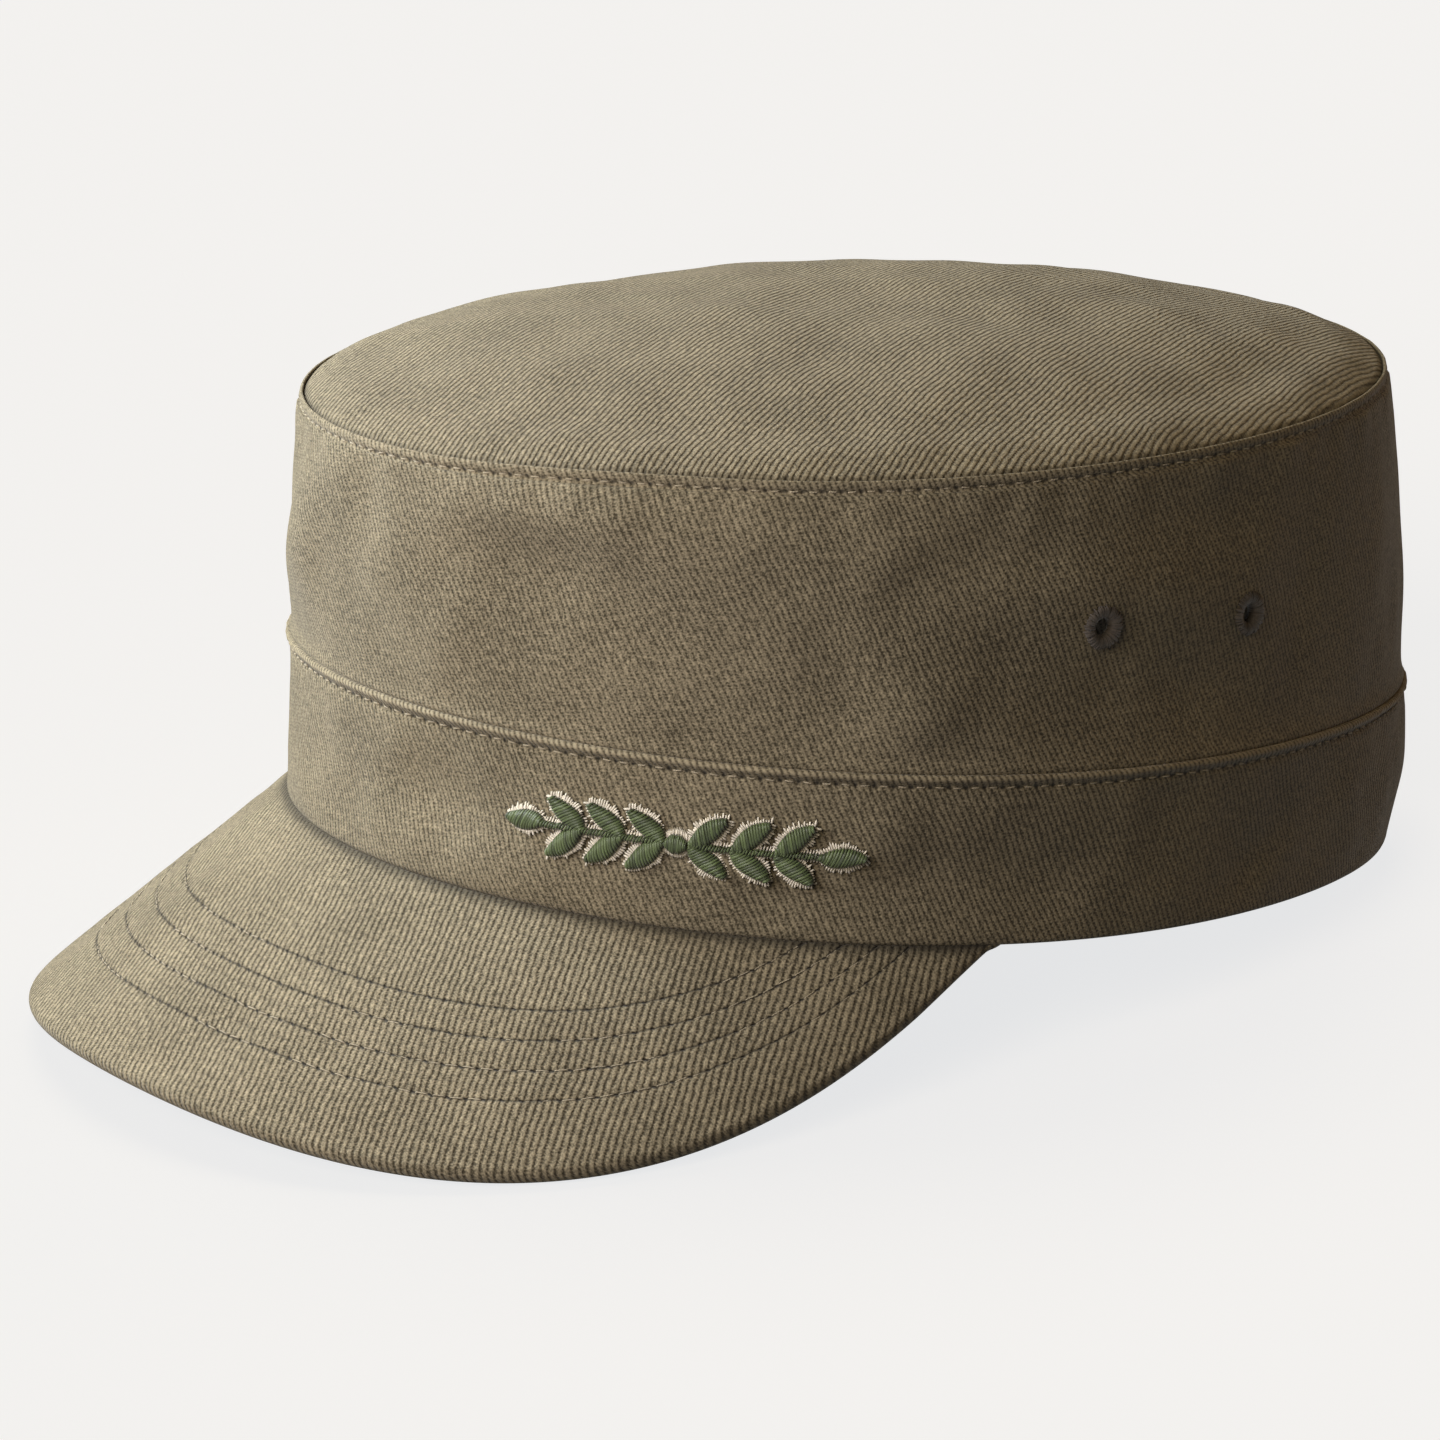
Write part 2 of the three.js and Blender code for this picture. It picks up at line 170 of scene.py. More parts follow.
def grid_patch(points, flat, known, close_rows=False, close_columns=False):
    """Corner (row, column) is points[row, column], and each face joins it to the next row and column.

    Where a direction is closed its last line joins the first, and flat has one line more than points, so
    that the pattern runs on over the join.
    """
    rows, columns = points.shape[:2]
    row = np.arange(rows if close_rows else rows - 1)[:, None]
    column = np.arange(columns if close_columns else columns - 1)[None, :]
    around = [(row, column), (row, column + 1), (row + 1, column + 1), (row + 1, column)]
    quads = np.stack([r % rows * columns + c % columns for r, c in around], axis=-1).reshape(-1, 4)
    corners = np.stack([flat[r, c] for r, c in around], axis=-2).reshape(-1, 4, 2)
    places = points.reshape(-1, 3)
    quads, corners = outward_faces(places, quads, corners)
    return places, quads, corners, np.broadcast_to(known, (rows, columns, 3)).reshape(-1, 3)


def thread_patch(lines, outward, radius, tone, sides=6):
    """Tubes along lines[thread, step]: centre + radius x taper x (cos q outward + sin q sideways).

    The taper is sqrt(1 - |2t - 1|^8), so that each tube is round at its ends and closed.
    """
    count, steps = lines.shape[:2]
    along = unit(np.gradient(lines, axis=1))
    side = unit(np.cross(along, outward))
    rise = np.cross(side, along)
    share = np.linspace(-1, 1, steps)
    taper = np.sqrt(np.maximum(1 - np.abs(share) ** 8, 0))[None, :, None, None]
    turn = (np.arange(sides) / sides * TAU)[None, None, :, None]
    ring = np.cos(turn) * rise[:, :, None] + np.sin(turn) * side[:, :, None]
    places = (lines[:, :, None] + np.reshape(radius, (-1, 1, 1, 1)) * taper * ring).reshape(-1, 3)
    thread = np.arange(count)[:, None, None]
    step = np.arange(steps - 1)[None, :, None]
    around = np.arange(sides)[None, None, :]
    length = np.linalg.norm(np.diff(lines, axis=1), axis=-1).sum(axis=1)[:, None, None]
    quads = []
    corners = []
    for s, q in [(0, 0), (1, 0), (1, 1), (0, 1)]:
        quads.append((thread * steps + step + s) * sides + (around + q) % sides)
        corners.append(vectors(length * (step + s) / (steps - 1), (around + q) / sides))
    quads = np.stack(quads, axis=-1).reshape(-1, 4)
    corners = np.stack(corners, axis=-2).reshape(-1, 4, 2)
    quads, corners = outward_faces(places, quads, corners)
    return places, quads, corners, facts(np.repeat(tone, steps * sides))


# %% From patches to a finished piece


def sew(name, patches, material, slot, *nodes):
    """Joins patches into one mesh at its place in the frame, closes its poles and stands for its nodes."""
    places, quads, corners, known = zip(*patches)
    starts = np.cumsum([0] + [len(patch) for patch in places])
    quads = [patch + start for patch, start in zip(quads, starts)]
    mesh = bpy.data.meshes.new(name)
    mesh.from_pydata(tipped(np.concatenate(places)) * MM + PLACE, [], np.concatenate(quads).tolist())
    mesh.uv_layers.new(name="cloth").data.foreach_set("uv", np.concatenate(corners).ravel())
    sewn = mesh.attributes.new("sewn", "FLOAT_VECTOR", "POINT")
    sewn.data.foreach_set("vector", np.concatenate(known).astype(np.float32).ravel())
    poles = bmesh.new()
    poles.from_mesh(mesh)
    bmesh.ops.remove_doubles(poles, verts=poles.verts, dist=1e-6)
    bmesh.ops.dissolve_degenerate(poles, edges=poles.edges, dist=1e-7)
    poles.to_mesh(mesh)
    poles.free()
    mesh.shade_smooth()
    mesh.materials.append(material)
    piece = bpy.data.objects.new(name, mesh)
    bpy.context.scene.collection.objects.link(piece)
    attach(piece, "root")
    if nodes:
        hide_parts(*nodes)
    print(name, len(mesh.polygons), "faces")
    return piece


def smooth_curve(points, count):
    """Catmull-Rom curve through points, at count places spread evenly over their steps."""
    p = np.asarray(points, float)
    p = np.concatenate([2 * p[:1] - p[1:2], p, 2 * p[-1:] - p[-2:-1]])
    place = np.linspace(0, len(points) - 1, count)
    k = np.minimum(place.astype(int), len(points) - 2)
    t = (place - k)[:, None]
    a, b, c, d = (p[k + i] for i in range(4))
    return b + 0.5 * t * (c - a + t * (2 * a - 5 * b + 4 * c - d + t * (3 * (b - c) + d - a)))


def ripple(u, v, size, seed, count=9):
    """Sum of count cosine waves / sqrt(count), about size mm long, with random directions and starts."""
    draw = np.random.default_rng(seed)
    total = 0
    for _ in range(count):
        heading, start = draw.uniform(0, TAU, 2)
        length = size * draw.uniform(0.7, 1.5)
        total = total + np.cos(TAU * (u * math.cos(heading) + v * math.sin(heading)) / length + start)
    return total / math.sqrt(count)


def ripples(u, v, *waves):
    """Sum of height x ripple, for waves given as (height, size, seed)."""
    return sum(height * ripple(u, v, size, seed) for height, size, seed in waves)


def bump_at(distance, width):
    """A smooth bump of height 1: exp(-(distance / width)^2)."""
    return np.exp(-((distance / width) ** 2))


# %% [markdown]
# Materials are node trees, but long shader sums are hard to read as nodes. A small class wraps a socket and
# lets Python's own arithmetic add the Math nodes. One method adds any other node from its type, its
# settings and its sockets.

# %% Shader arithmetic


class Wire:
    """A socket whose arithmetic adds Math nodes to its tree."""

    def __init__(self, bench, socket):
        self.bench = bench
        self.socket = socket

    def maths(self, operation, *values):
        """One Math node of an operation."""
        return self.bench.add("ShaderNodeMath", {"operation": operation}, dict(enumerate(values)))

    def __add__(self, other):
        return self.maths("ADD", self, other)

    __radd__ = __add__

    def __sub__(self, other):
        return self.maths("SUBTRACT", self, other)

    def __rsub__(self, other):
        return self.maths("SUBTRACT", other, self)

    def __mul__(self, other):
        return self.maths("MULTIPLY", self, other)

    __rmul__ = __mul__

    def __truediv__(self, other):
        return self.maths("DIVIDE", self, other)

    def above(self, other):
        return self.maths("MAXIMUM", self, other)

    def below(self, other):
        return self.maths("MINIMUM", self, other)

    def clipped(self):
        return self.above(0.0).below(1.0)

    def rounded(self):
        return self.maths("ROUND", self)

    def wave(self):
        """0.5 + 0.5 cos(2 pi x): from 0 to 1 and back once for each whole number."""
        return self.maths("COSINE", self * TAU) * 0.5 + 0.5

    def bell(self):
        """exp(-x^2)."""
        return self.maths("EXPONENT", self * self * -1)


class Bench:
    """A node tree with one way to add a node."""

    def __init__(self, tree):
        self.tree = tree
        tree.nodes.clear()

    def add(self, kind, settings=None, sockets=None, output=0):
        """A node of a type: its settings first, then values or wires for its sockets by name or number."""
        node = self.tree.nodes.new(kind)
        for key, value in (settings or {}).items():
            setattr(node, key, value)
        by_name = {socket.identifier: socket for socket in node.inputs}
        for key, value in (sockets or {}).items():
            socket = node.inputs[key] if isinstance(key, int) else by_name[key]
            if isinstance(value, Wire):
                self.tree.links.new(value.socket, socket)
            else:
                socket.default_value = value
        outputs = {socket.identifier: socket for socket in node.outputs}
        if not node.outputs:
            return node
        return Wire(self, outputs[output] if isinstance(output, str) else node.outputs[output])

    def parts(self, vector):
        """The three components of a vector."""
        return [self.add("ShaderNodeSeparateXYZ", None, {"Vector": vector}, axis) for axis in "XYZ"]

    def mix(self, low, high, factor):
        """The colour low where factor is 0 and high where it is 1."""
        sockets = {"Factor_Float": factor, "A_Color": low, "B_Color": high}
        return self.add("ShaderNodeMix", {"data_type": "RGBA"}, sockets, "Result_Color")

    def noise(self, vector, scale, detail=2.0):
        """Noise about 0, mostly between -0.3 and 0.3, with features 1 / scale mm across."""
        sockets = {"Vector": vector, "Scale": scale, "Detail": detail}
        return self.add("ShaderNodeTexNoise", {"noise_dimensions": "2D"}, sockets) - 0.5

    def stretched(self, vector, x, y):
        """The vector (x vx, y vy, vz)."""
        sockets = {0: vector, 1: (x, y, 1.0)}
        return self.add("ShaderNodeVectorMath", {"operation": "MULTIPLY"}, sockets)


def finish_material(bench, **surface):
    """A Principled surface, with the socket names written with underscores."""
    sockets = {key.replace("_", " "): value for key, value in surface.items()}
    shader = bench.add("ShaderNodeBsdfPrincipled", None, sockets)
    bench.add("ShaderNodeOutputMaterial", None, {"Surface": shader})


def tinted(colour, strength=1.0):
    """A colour as a node's socket takes it, made darker or lighter."""
    return tuple(min(strength * c, 0.95) for c in colour) + (1.0,)


def cloth_facts(bench):
    """A point's flat place, as a vector and as u and v, and then its tone, stitch and distance."""
    flat = bench.add("ShaderNodeUVMap", {"uv_map": "cloth"})
    sewn = bench.add("ShaderNodeAttribute", {"attribute_name": "sewn"}, None, "Vector")
    u, v, _ = bench.parts(flat)
    return flat, u, v, *bench.parts(sewn)


def new_bench(name):
    """A new material, and the bench of its empty node tree."""
    material = bpy.data.materials.new(name)
    material.use_nodes = True
    return material, Bench(material.node_tree)


# %% [markdown]
# Twill is woven so that each yarn passes over two or three others, one step further along on each row. The
# steps line up as slanting ribs, about one millimetre apart, with narrow gaps between them. Along each gap
# lies a row of small dark pits where the yarns cross. The weave here is two families of waves in the
# cloth's flat millimetres, the ribs and the rows that cross them, and both wander a little, as in washed
# cotton. They drive a bump and the colour together, so the colour carries painted shade in the gaps and
# pits and a little painted light on the ribs, and every float takes the dye a little differently. The
# needle holes of a seam are pressed in the same way, from the stitches and distance that each point
# carries, and painted shade darkens them and the crease along the seam.

# %% Twill
STITCH_PITCH = 3.05
FLOAT_LENGTH = 0.64
# Olive darkened is painted shade; the pale olive is the weave's light end, wear and painted light.
OLIVE = (0.2, 0.165, 0.104)
WORN_AND_LIT_OLIVE = (0.41, 0.347, 0.226)
DEEP_OLIVE = (0.054, 0.044, 0.025)
# Dark and crease: how much painted shade darkens the needle holes and the crease along a seam.
ROUND_HOLE = dict(long=0.34, wide=0.32, skew=0.0, dark=1.7, crease=0.38)
SOFT_HOLE = dict(long=0.34, wide=0.32, skew=0.0, dark=0.95, crease=0.25)
TICK_HOLE = dict(long=0.26, wide=0.36, skew=1.2, dark=1.1, crease=0.75)
TWILLS = {
    "crown_twill": dict(lean=118, pitch=0.99, depth=0.075, ribs=0.03, pits=0.44, hole=ROUND_HOLE),
    "top_twill": dict(lean=124, pitch=1.06, depth=0.16, ribs=0.22, pits=0.26, hole=ROUND_HOLE),
    "band_twill": dict(lean=117, pitch=1.0, depth=0.09, ribs=0.08, pits=0.36, hole=SOFT_HOLE),
    "peak_twill": dict(lean=123, pitch=1.2, depth=0.15, ribs=0.2, pits=0.38, hole=TICK_HOLE),
}


def twill(name):
    """Ribs of a pitch and depth in mm that lean by an angle from the u axis of the flat cloth.

    Ribs and pits say how much painted shade darkens the gaps between the ribs and the pits along them.
    A hole is long along its seam and wide across it, in mm, and a crease joins it to the next. Dark and
    crease say how much painted shade darkens the hole and the crease.
    """
    cloth = TWILLS[name]
    material, bench = new_bench(name)
    flat, u, v, tone, stitch, away = cloth_facts(bench)
    slant = math.radians(cloth["lean"])
    wander = 0.9 * bench.noise(flat, 0.03, 1.0) + 0.45 * bench.noise(flat, 0.35, 1.0)
    across = (u * math.sin(slant) - v * math.cos(slant)) / cloth["pitch"] + wander
    along = (u * math.cos(slant) + v * math.sin(slant)) / FLOAT_LENGTH
    row = along + 0.5 * across + 0.9 * bench.noise(flat, 0.8, 1.0)
    rib = across.wave()
    gap = (1 - rib) * (1 - rib)
    pit = gap * row.wave()
    float_place = bench.add("ShaderNodeCombineXYZ", None, {"X": across.rounded(), "Y": row.rounded()})
    lot = bench.add("ShaderNodeTexWhiteNoise", {"noise_dimensions": "2D"}, {"Vector": float_place}, "Value")
    dye = lot - 0.5
    fibre = bench.noise(flat, 3.0, 3.0)
    heather = bench.noise(flat, 0.9, 3.0)
    patches = bench.noise(flat, 0.055, 3.0)
    # Painted shade: darker in the gaps between the ribs and in the pits, a little lighter on the ribs.
    weave_painted_shade = cloth["ribs"] * (0.375 - gap) + cloth["pits"] * (0.19 - pit) + 0.1 * rib
    light = 0.3 + weave_painted_shade + 0.14 * dye + 1.4 * fibre + 0.75 * heather + 0.3 * patches
    weave_dye_and_painted_shade = bench.mix(tinted(DEEP_OLIVE), tinted(WORN_AND_LIT_OLIVE), light.clipped())
    # Painted shade in the needle holes, along the seam's crease, and wherever the tone is below zero.
    step = (stitch - stitch.rounded()) * STITCH_PITCH
    size = cloth["hole"]
    hole = ((step + away * size["skew"]) / size["long"]).bell() * (away / size["wide"]).bell()
    crease = (away / 0.22).bell()
    shade = (size["dark"] * hole + size["crease"] * crease - tone).clipped()
    shaded = bench.mix(weave_dye_and_painted_shade, tinted(OLIVE, 0.1), shade)
    # Lighter where the tone is above zero: wear on the ridge and welt, and painted light.
    wear_and_painted_light = bench.mix(shaded, tinted(WORN_AND_LIT_OLIVE), (tone * (0.1 + 0.75 * rib)).clipped())
    height = 0.4 * fibre + 0.15 * dye - 0.8 * gap - 0.5 * pit - 1.3 * hole - 0.6 * crease
    sockets = {"Height": height, "Distance": cloth["depth"] * MM, "Strength": 1.0}
    finish_material(
        bench,
        Base_Color=wear_and_painted_light,
        Roughness=0.93 - 0.12 * rib,
        Normal=bench.add("ShaderNodeBump", None, sockets),
        Sheen_Weight=0.15,
        Sheen_Roughness=0.5,
        Sheen_Tint=(0.9, 0.86, 0.76, 1.0),
        Specular_IOR_Level=0.2,
    )
    return material


crown_twill = twill("crown_twill")
top_twill = twill("top_twill")
band_twill = twill("band_twill")
peak_twill = twill("peak_twill")

# %% [markdown]
# Sewing thread is two or three plies twisted together. Under a lens that reads as slanting stripes along
# each stitch. Embroidery thread is glossier and nearly untwisted, with fine filaments along its length.

# %% Threads


def thread(name, colour, roughness, twist, gloss, spread):
    """A thread whose plies wind round it, in waves of (length / twist + turn), with painted shade towards its
    sides.
    """
    material, bench = new_bench(name)
    flat, u, v, tone, _, _ = cloth_facts(bench)
    plies = (u / twist + 2 * v).wave()
    # Painted shade: each thread lighter along its top and darker towards its sides.
    crest = v.wave()
    hairs = bench.noise(bench.stretched(flat, 0.7, 9.0), 2.0, 2.0)
    light = (0.75 * crest * crest + 0.3 * plies + 0.7 * hairs + 0.5 * tone - 0.15).clipped()
    relief = plies + 0.6 * hairs
    bump = bench.add("ShaderNodeBump", None, {"Height": relief, "Distance": 0.05 * MM, "Strength": 1.0})
    finish_material(
        bench,
        Base_Color=bench.mix(tinted(colour, 1 - spread), tinted(colour, 1 + spread), light),
        Roughness=roughness + 0.15 * hairs,
        Normal=bump,
        Sheen_Weight=0.2,
        Specular_IOR_Level=gloss,
    )
    return material


seam_thread = thread("seam_thread", (0.35, 0.3, 0.205), roughness=0.7, twist=0.5, gloss=0.3, spread=0.4)
eyelet_thread = thread("eyelet_thread", (0.064, 0.052, 0.04), roughness=0.6, twist=3.0, gloss=0.3, spread=0.7)
cream_thread = thread("cream_thread", (0.72, 0.67, 0.55), roughness=0.65, twist=2.0, gloss=0.3, spread=0.32)
green_thread = thread("green_thread", (0.066, 0.092, 0.033), roughness=0.45, twist=4.0, gloss=0.5, spread=0.9)

# %% [markdown]
# The round panels share one set of columns. They start and end at the middle of the back, where a real
# band is joined, so the weave's own join hides in a seam. A few extra columns crowd there to carry the
# groove. Seam lines are sewn at an even pitch, so each needs to know how far round it every column lies.

# %% Columns round the head
COLUMNS = 640
BACK_SEAM_WIDE = 0.9
JOIN_ANGLES = np.radians([0.12, 0.3, 0.5, 0.75, 1.05])
even_angles = np.linspace(-math.pi, math.pi, COLUMNS, endpoint=False)
ANGLES = np.unique(np.concatenate([even_angles, JOIN_ANGLES - math.pi, math.pi - JOIN_ANGLES]))
AROUND = np.append(ANGLES, math.pi)


def arc_lengths(points):
    """How far along a line of points each of them lies, in mm."""
    steps = np.linalg.norm(np.diff(points, axis=0), axis=-1)
    return np.concatenate([[0.0], np.cumsum(steps)])


band_arc = arc_lengths(oval_point("band", AROUND))
top_arc = arc_lengths(oval_point("top", AROUND))
print("round the band:", round(band_arc[-1], 1), "mm; round the top seam:", round(top_arc[-1], 1), "mm")


def back_groove(angle):
    """0.35 x a wide bump - a narrow bump: the dip of the seam at the back, and a faint swell beside it."""
    away = BAND_RADIUS * (math.pi - np.abs(angle))
    return 0.35 * bump_at(away, 2.6 * BACK_SEAM_WIDE) - bump_at(away, 0.5 * BACK_SEAM_WIDE)


# %% [markdown]
# A line of stitches pulls the cloth in. The pull is strongest where the needle went down and weaker under
# each stitch, which puckers the cloth beside the line with the same rhythm. The stitches themselves are
# short threads that rise out of one hole and dive into the next.

# %% Stitched lines


def stitch_count(length):
    """Length / pitch, as a whole number."""
    return round(length / STITCH_PITCH)


def stitched(arc):
    """How many stitches come before each place of a line, given how far along it lies."""
    return arc / arc[-1] * stitch_count(arc[-1])


def pulled(stitch, distance, width):
    """Inward pull by a row: bump x (0.55 + 0.45 cos) + 0.16 x wide bump x cos, of the stitch's turn."""
    turn = np.cos(TAU * stitch)
    return bump_at(distance, width) * (0.55 + 0.45 * turn) + 0.16 * bump_at(distance, 4 * width) * turn


def along_curve(curve, arc, places):
    """The curve's values at places along its arc."""
    return vectors(*(np.interp(places, arc, column) for column in curve.T))


def stitches(curve, outward, count, seed, rise=0.13, sink=0.3, radius=0.14, hole=0.21):
    """count stitches along a curve of points: straight between holes, at rise x 4t(1-t) - sink x (2t-1)^4."""
    draw = np.random.default_rng(seed)
    arc = arc_lengths(curve)
    ends = np.arange(count + 1) / count * arc[-1]
    pitch = ends[1]
    t = np.linspace(0, 1, 9)[None, :]
    near = ends[:-1, None] + pitch * hole
    far = ends[1:, None] - pitch * hole
    places = near + (far - near) * t
    lines = along_curve(curve, arc, places)
    facing = unit(along_curve(outward, arc, places))
    height = rise * 4 * t * (1 - t) - sink * (2 * t - 1) ** 4
    height = height + draw.uniform(-0.03, 0.03, (count, 1))
    across = unit(np.cross(facing, np.gradient(lines, axis=1)))
    slip = draw.uniform(-0.06, 0.06, (count, 1)) + draw.uniform(-0.12, 0.12, (count, 1)) * (2 * t - 1)
    lines = lines + facing * height[..., None] + across * slip[..., None]
    return thread_patch(lines, facing, radius, draw.uniform(-0.4, 0.4, count))


# %% [markdown]
# The side of the crown is one upright strip of twill. Between its seams it is a straight line from the
# band's oval to the smaller oval of the top, swollen a little and pressed in by soft dents. Below it
# tucks behind the band. Above it rolls over a cord of seam allowance into the ridge round the top.

# %% Shape of the crown's side
# Each dent: its angle round the cap, its level in mm, the lean of its long axis, its long and short
# half-lengths in mm and its depth in mm. A swelling is a dent of negative depth.
SIDE_DENTS = [
    (24, 37, 0, 17, 13, 1.6),
    (26, 45, 0, 25, 8, -2.2),
    (69, 15, 90, 15, 14, 1.1),
    (47, 31, 0, 19, 17, -0.8),
    (-9, 35, 90, 12, 8, 0.9),
    (-10, 33, 56, 25, 9, -1.5),
    (10, 37, 56, 25, 9, -0.8),
    (54, 17, 90, 12, 5, 0.8),
    (62, 8, 34, 12, 6, -1.5),
    (62, 41, 34, 12, 5, -1.4),
    (90, 9, 0, 25, 8, 1.2),
    (86, 30, 0, 25, 8, -1.2),
    (102, 41, 0, 25, 8, 0.9),
    (114, 17, 90, 25, 9, 1.3),
    (94, 5, 0, 25, 25, 2.0),
    (38, 41, 0, 25, 8, -1.6),
    (30, 45, -34, 25, 8, -3.0),
    (34, 45, 0, 25, 8, -1.6),
    (74, 37, 0, 12, 5, 1.3),
    (94, 41, 0, 25, 8, 1.0),
    (66, 5, 124, 25, 9, -1.3),
    (-14, 25, 56, 25, 9, -1.4),
    (175, 30, 0, 19, 15, 0.9),
    (-60, 27, 0, 22, 15, 1.2),
    (-118, 25, 0, 24, 17, 1.2),
]
BAND_DENTS = [
    (12, 14, 0, 25, 8, 1.8),
    (30, 4, 0, 25, 8, -0.6),
    (60, 18, 34, 12, 6, -0.8),
    (66, 8, 0, 25, 8, 1.1),
    (106, 8, 34, 12, 6, 0.8),
    (22, 4, 56, 25, 9, -1.4),
    (74, 13, 0, 25, 8, 0.8),
    (145, 12, 0, 30, 16, -1.2),
    (-70, 14, 0, 25, 9, 0.9),
    (-150, 14, 20, 22, 9, -0.7),
]
SEAM_WAVE = dict(angle=math.radians(32), wide=math.radians(16), rise=1.0)


def seam_level(points, share=1.0):
    """The tilted plane of the top's seam, with one soft wave that fades towards the middle."""
    x, y = points[..., 0], points[..., 1]
    wave = bump_at(np.arctan2(x, -y) - SEAM_WAVE["angle"], SEAM_WAVE["wide"])
    return BAND_HEIGHT + SIDE_HEIGHT + TOP_SLOPE * y + SEAM_WAVE["rise"] * wave * share**4


def dented(dents, angle, level):
    """Minus the sum of depth x exp(-along^2 - across^2), with each dent's long axis leaned by its lean."""
    total = 0
    for dent_angle, dent_level, dent_lean, long, short, depth in dents:
        turn = (angle - math.radians(dent_angle) + math.pi) % TAU - math.pi
        x = turn * BAND_RADIUS
        y = level - dent_level
        lean = math.radians(dent_lean)
        along = (x * math.cos(lean) + y * math.sin(lean)) / long
        across = (y * math.cos(lean) - x * math.sin(lean)) / short
        total = total - depth * np.exp(-(along**2) - across**2)
    return total


def side_swell(angle, height):
    """4h(1-h) x (belly + dents), so that the seams stay where they are."""
    return 4 * height * (1 - height) * (SIDE_BELLY + dented(SIDE_DENTS, angle, height * SIDE_HEIGHT))


def band_swell(angle, level):
    """The band's dents, which fade out at its edges."""
    share = level / BAND_HEIGHT
    return np.clip(4 * share * (1 - share), 0, 1) * dented(BAND_DENTS, angle, level)


def side_point(angle, height, depth=0.0):
    """Between the band's oval (height 0) and the top seam's (height 1), moved out by swell less depth."""
    low = oval_point("band", angle, -SIDE_STEP, BAND_HEIGHT)
    high = oval_point("top", angle, RIDGE_WIDE)
    high[..., 2] = seam_level(high)
    share = np.asarray(height)[..., None]
    away = side_swell(angle, height) - depth
    return low + (high - low) * share + oval_normal("band", angle) * np.asarray(away)[..., None]


def band_point(angle, level, out):
    """Between the hem's oval (level 0) and the band's oval (its full height), moved out."""
    low = oval_point("hem", angle)
    high = oval_point("band", angle, 0.0, BAND_HEIGHT)
    share = np.asarray(level / BAND_HEIGHT)[..., None]
    return low + (high - low) * share + oval_normal("band", angle) * np.asarray(out)[..., None]


# %% Sew the crown's side
SIDE_ROWS = 76
RIDGE_ROWS = 20
MEASURED_AT = 58  # degrees round: the way over the rows is measured at the left of the cap
TOP_STITCH_UP = -1.55  # the stitches lie this far from the seam line, along the height
TOP_STITCH_OUT = RIDGE_WIDE - 0.14
TUCK_IN = -2.5  # the tucked cloth lies this far inside the band's outer face
TUCK = smooth_curve([(-SIDE_TUCK, TUCK_IN), (-3.2, -2.3), (-1.0, -1.2), (0.15, -0.25)], 8)
RIDGE = smooth_curve(
    [
        (RIDGE_WIDE - 0.05, -2.15),
        (TOP_STITCH_OUT, TOP_STITCH_UP),
        (RIDGE_WIDE + 0.04, -1.15),
        (RIDGE_WIDE + 0.1, -0.65),
        (RIDGE_WIDE - 0.02, -0.12),
        (0.8 * RIDGE_WIDE, 0.1),
        (0.55 * RIDGE_WIDE, 0.06),
        (0.38 * RIDGE_WIDE, -0.35),
        (0.32 * RIDGE_WIDE, -1.1),
    ],
    RIDGE_ROWS,
)
SIDE_FORM = dict(pull=0.26, pull_wide=0.8, rim_wave=0.3, rim_wide=6, groove=0.5, foot=0.6, foot_wide=1.8)
RIDGE_FORM = dict(pull=0.14, pull_wide=0.5, wave=0.05, groove=0.3, wear_and_painted_light=0.25, wear_and_painted_light_wide=0.3)
# Painted shade on the cloth tucked behind the band, and in the crease where the ridge turns in.
TUCK_PAINTED_SHADE = -0.5
RIDGE_CREASE_PAINTED_SHADE = -0.9
wall_heights = np.linspace(0.012, 0.952, SIDE_ROWS)
inner_heights = np.linspace(0.94, 0.04, 22)


def rolled(angle, out, up):
    """A point of the ridge: the top seam's oval moved out, and up from the seam's level there."""
    point = oval_point("top", angle, out)
    point[..., 2] = seam_level(point) + up
    return point


def ring_patch(points, tone, stitch, away):
    """A closed sheet round the cap: u is the arc round the band and v the way over the rows of points."""
    column = np.argmin(np.abs(ANGLES - math.radians(MEASURED_AT)))
    heights = arc_lengths(points[:, column])
    flat = vectors(band_arc[None, :], np.append(heights, heights[-1] - 1)[:, None])
    return grid_patch(points, flat, facts(tone, stitch, away), True, True)


angle = ANGLES[None, :]
side_arc = np.interp(ANGLES, AROUND, band_arc)[None, :]
tuck_points = band_point(angle, BAND_HEIGHT + TUCK[:, :1], TUCK[:, 1:] + 0 * angle)
height = wall_heights[:, None] + 0 * angle
wall_points = side_point(angle + 0 * height, height)
seam_distance = (1 - height) * SIDE_HEIGHT + TOP_STITCH_UP
top_stitch = np.interp(ANGLES, AROUND, stitched(top_arc))[None, :]
wall_level = height * SIDE_HEIGHT
push = ripples(side_arc, wall_level, (0.3, 34, 3), (0.11, 13, 4))
push = push * np.minimum(1, 6 * np.minimum(height, 1 - height))
form = SIDE_FORM
push = push - form["pull"] * pulled(top_stitch, seam_distance, form["pull_wide"])
rim_wave = form["rim_wave"] * ripple(side_arc, 0.3 * wall_level, 11, 5)
push = push + rim_wave * bump_at(seam_distance, form["rim_wide"])
push = push + form["groove"] * back_groove(angle) + form["foot"] * bump_at(wall_level, form["foot_wide"])
wall_points = wall_points + oval_normal("band", angle) * push[..., None]
ridge_points = rolled(angle, RIDGE[:, :1] + 0 * angle, RIDGE[:, 1:])
form = RIDGE_FORM
ridge_push = form["wave"] * ripple(3 * top_stitch, RIDGE[:, 1:], 7, 6) + form["groove"] * back_groove(angle)
ridge_pull = pulled(top_stitch, RIDGE[:, 1:] - TOP_STITCH_UP, form["pull_wide"])
ridge_push = ridge_push - form["pull"] * ridge_pull
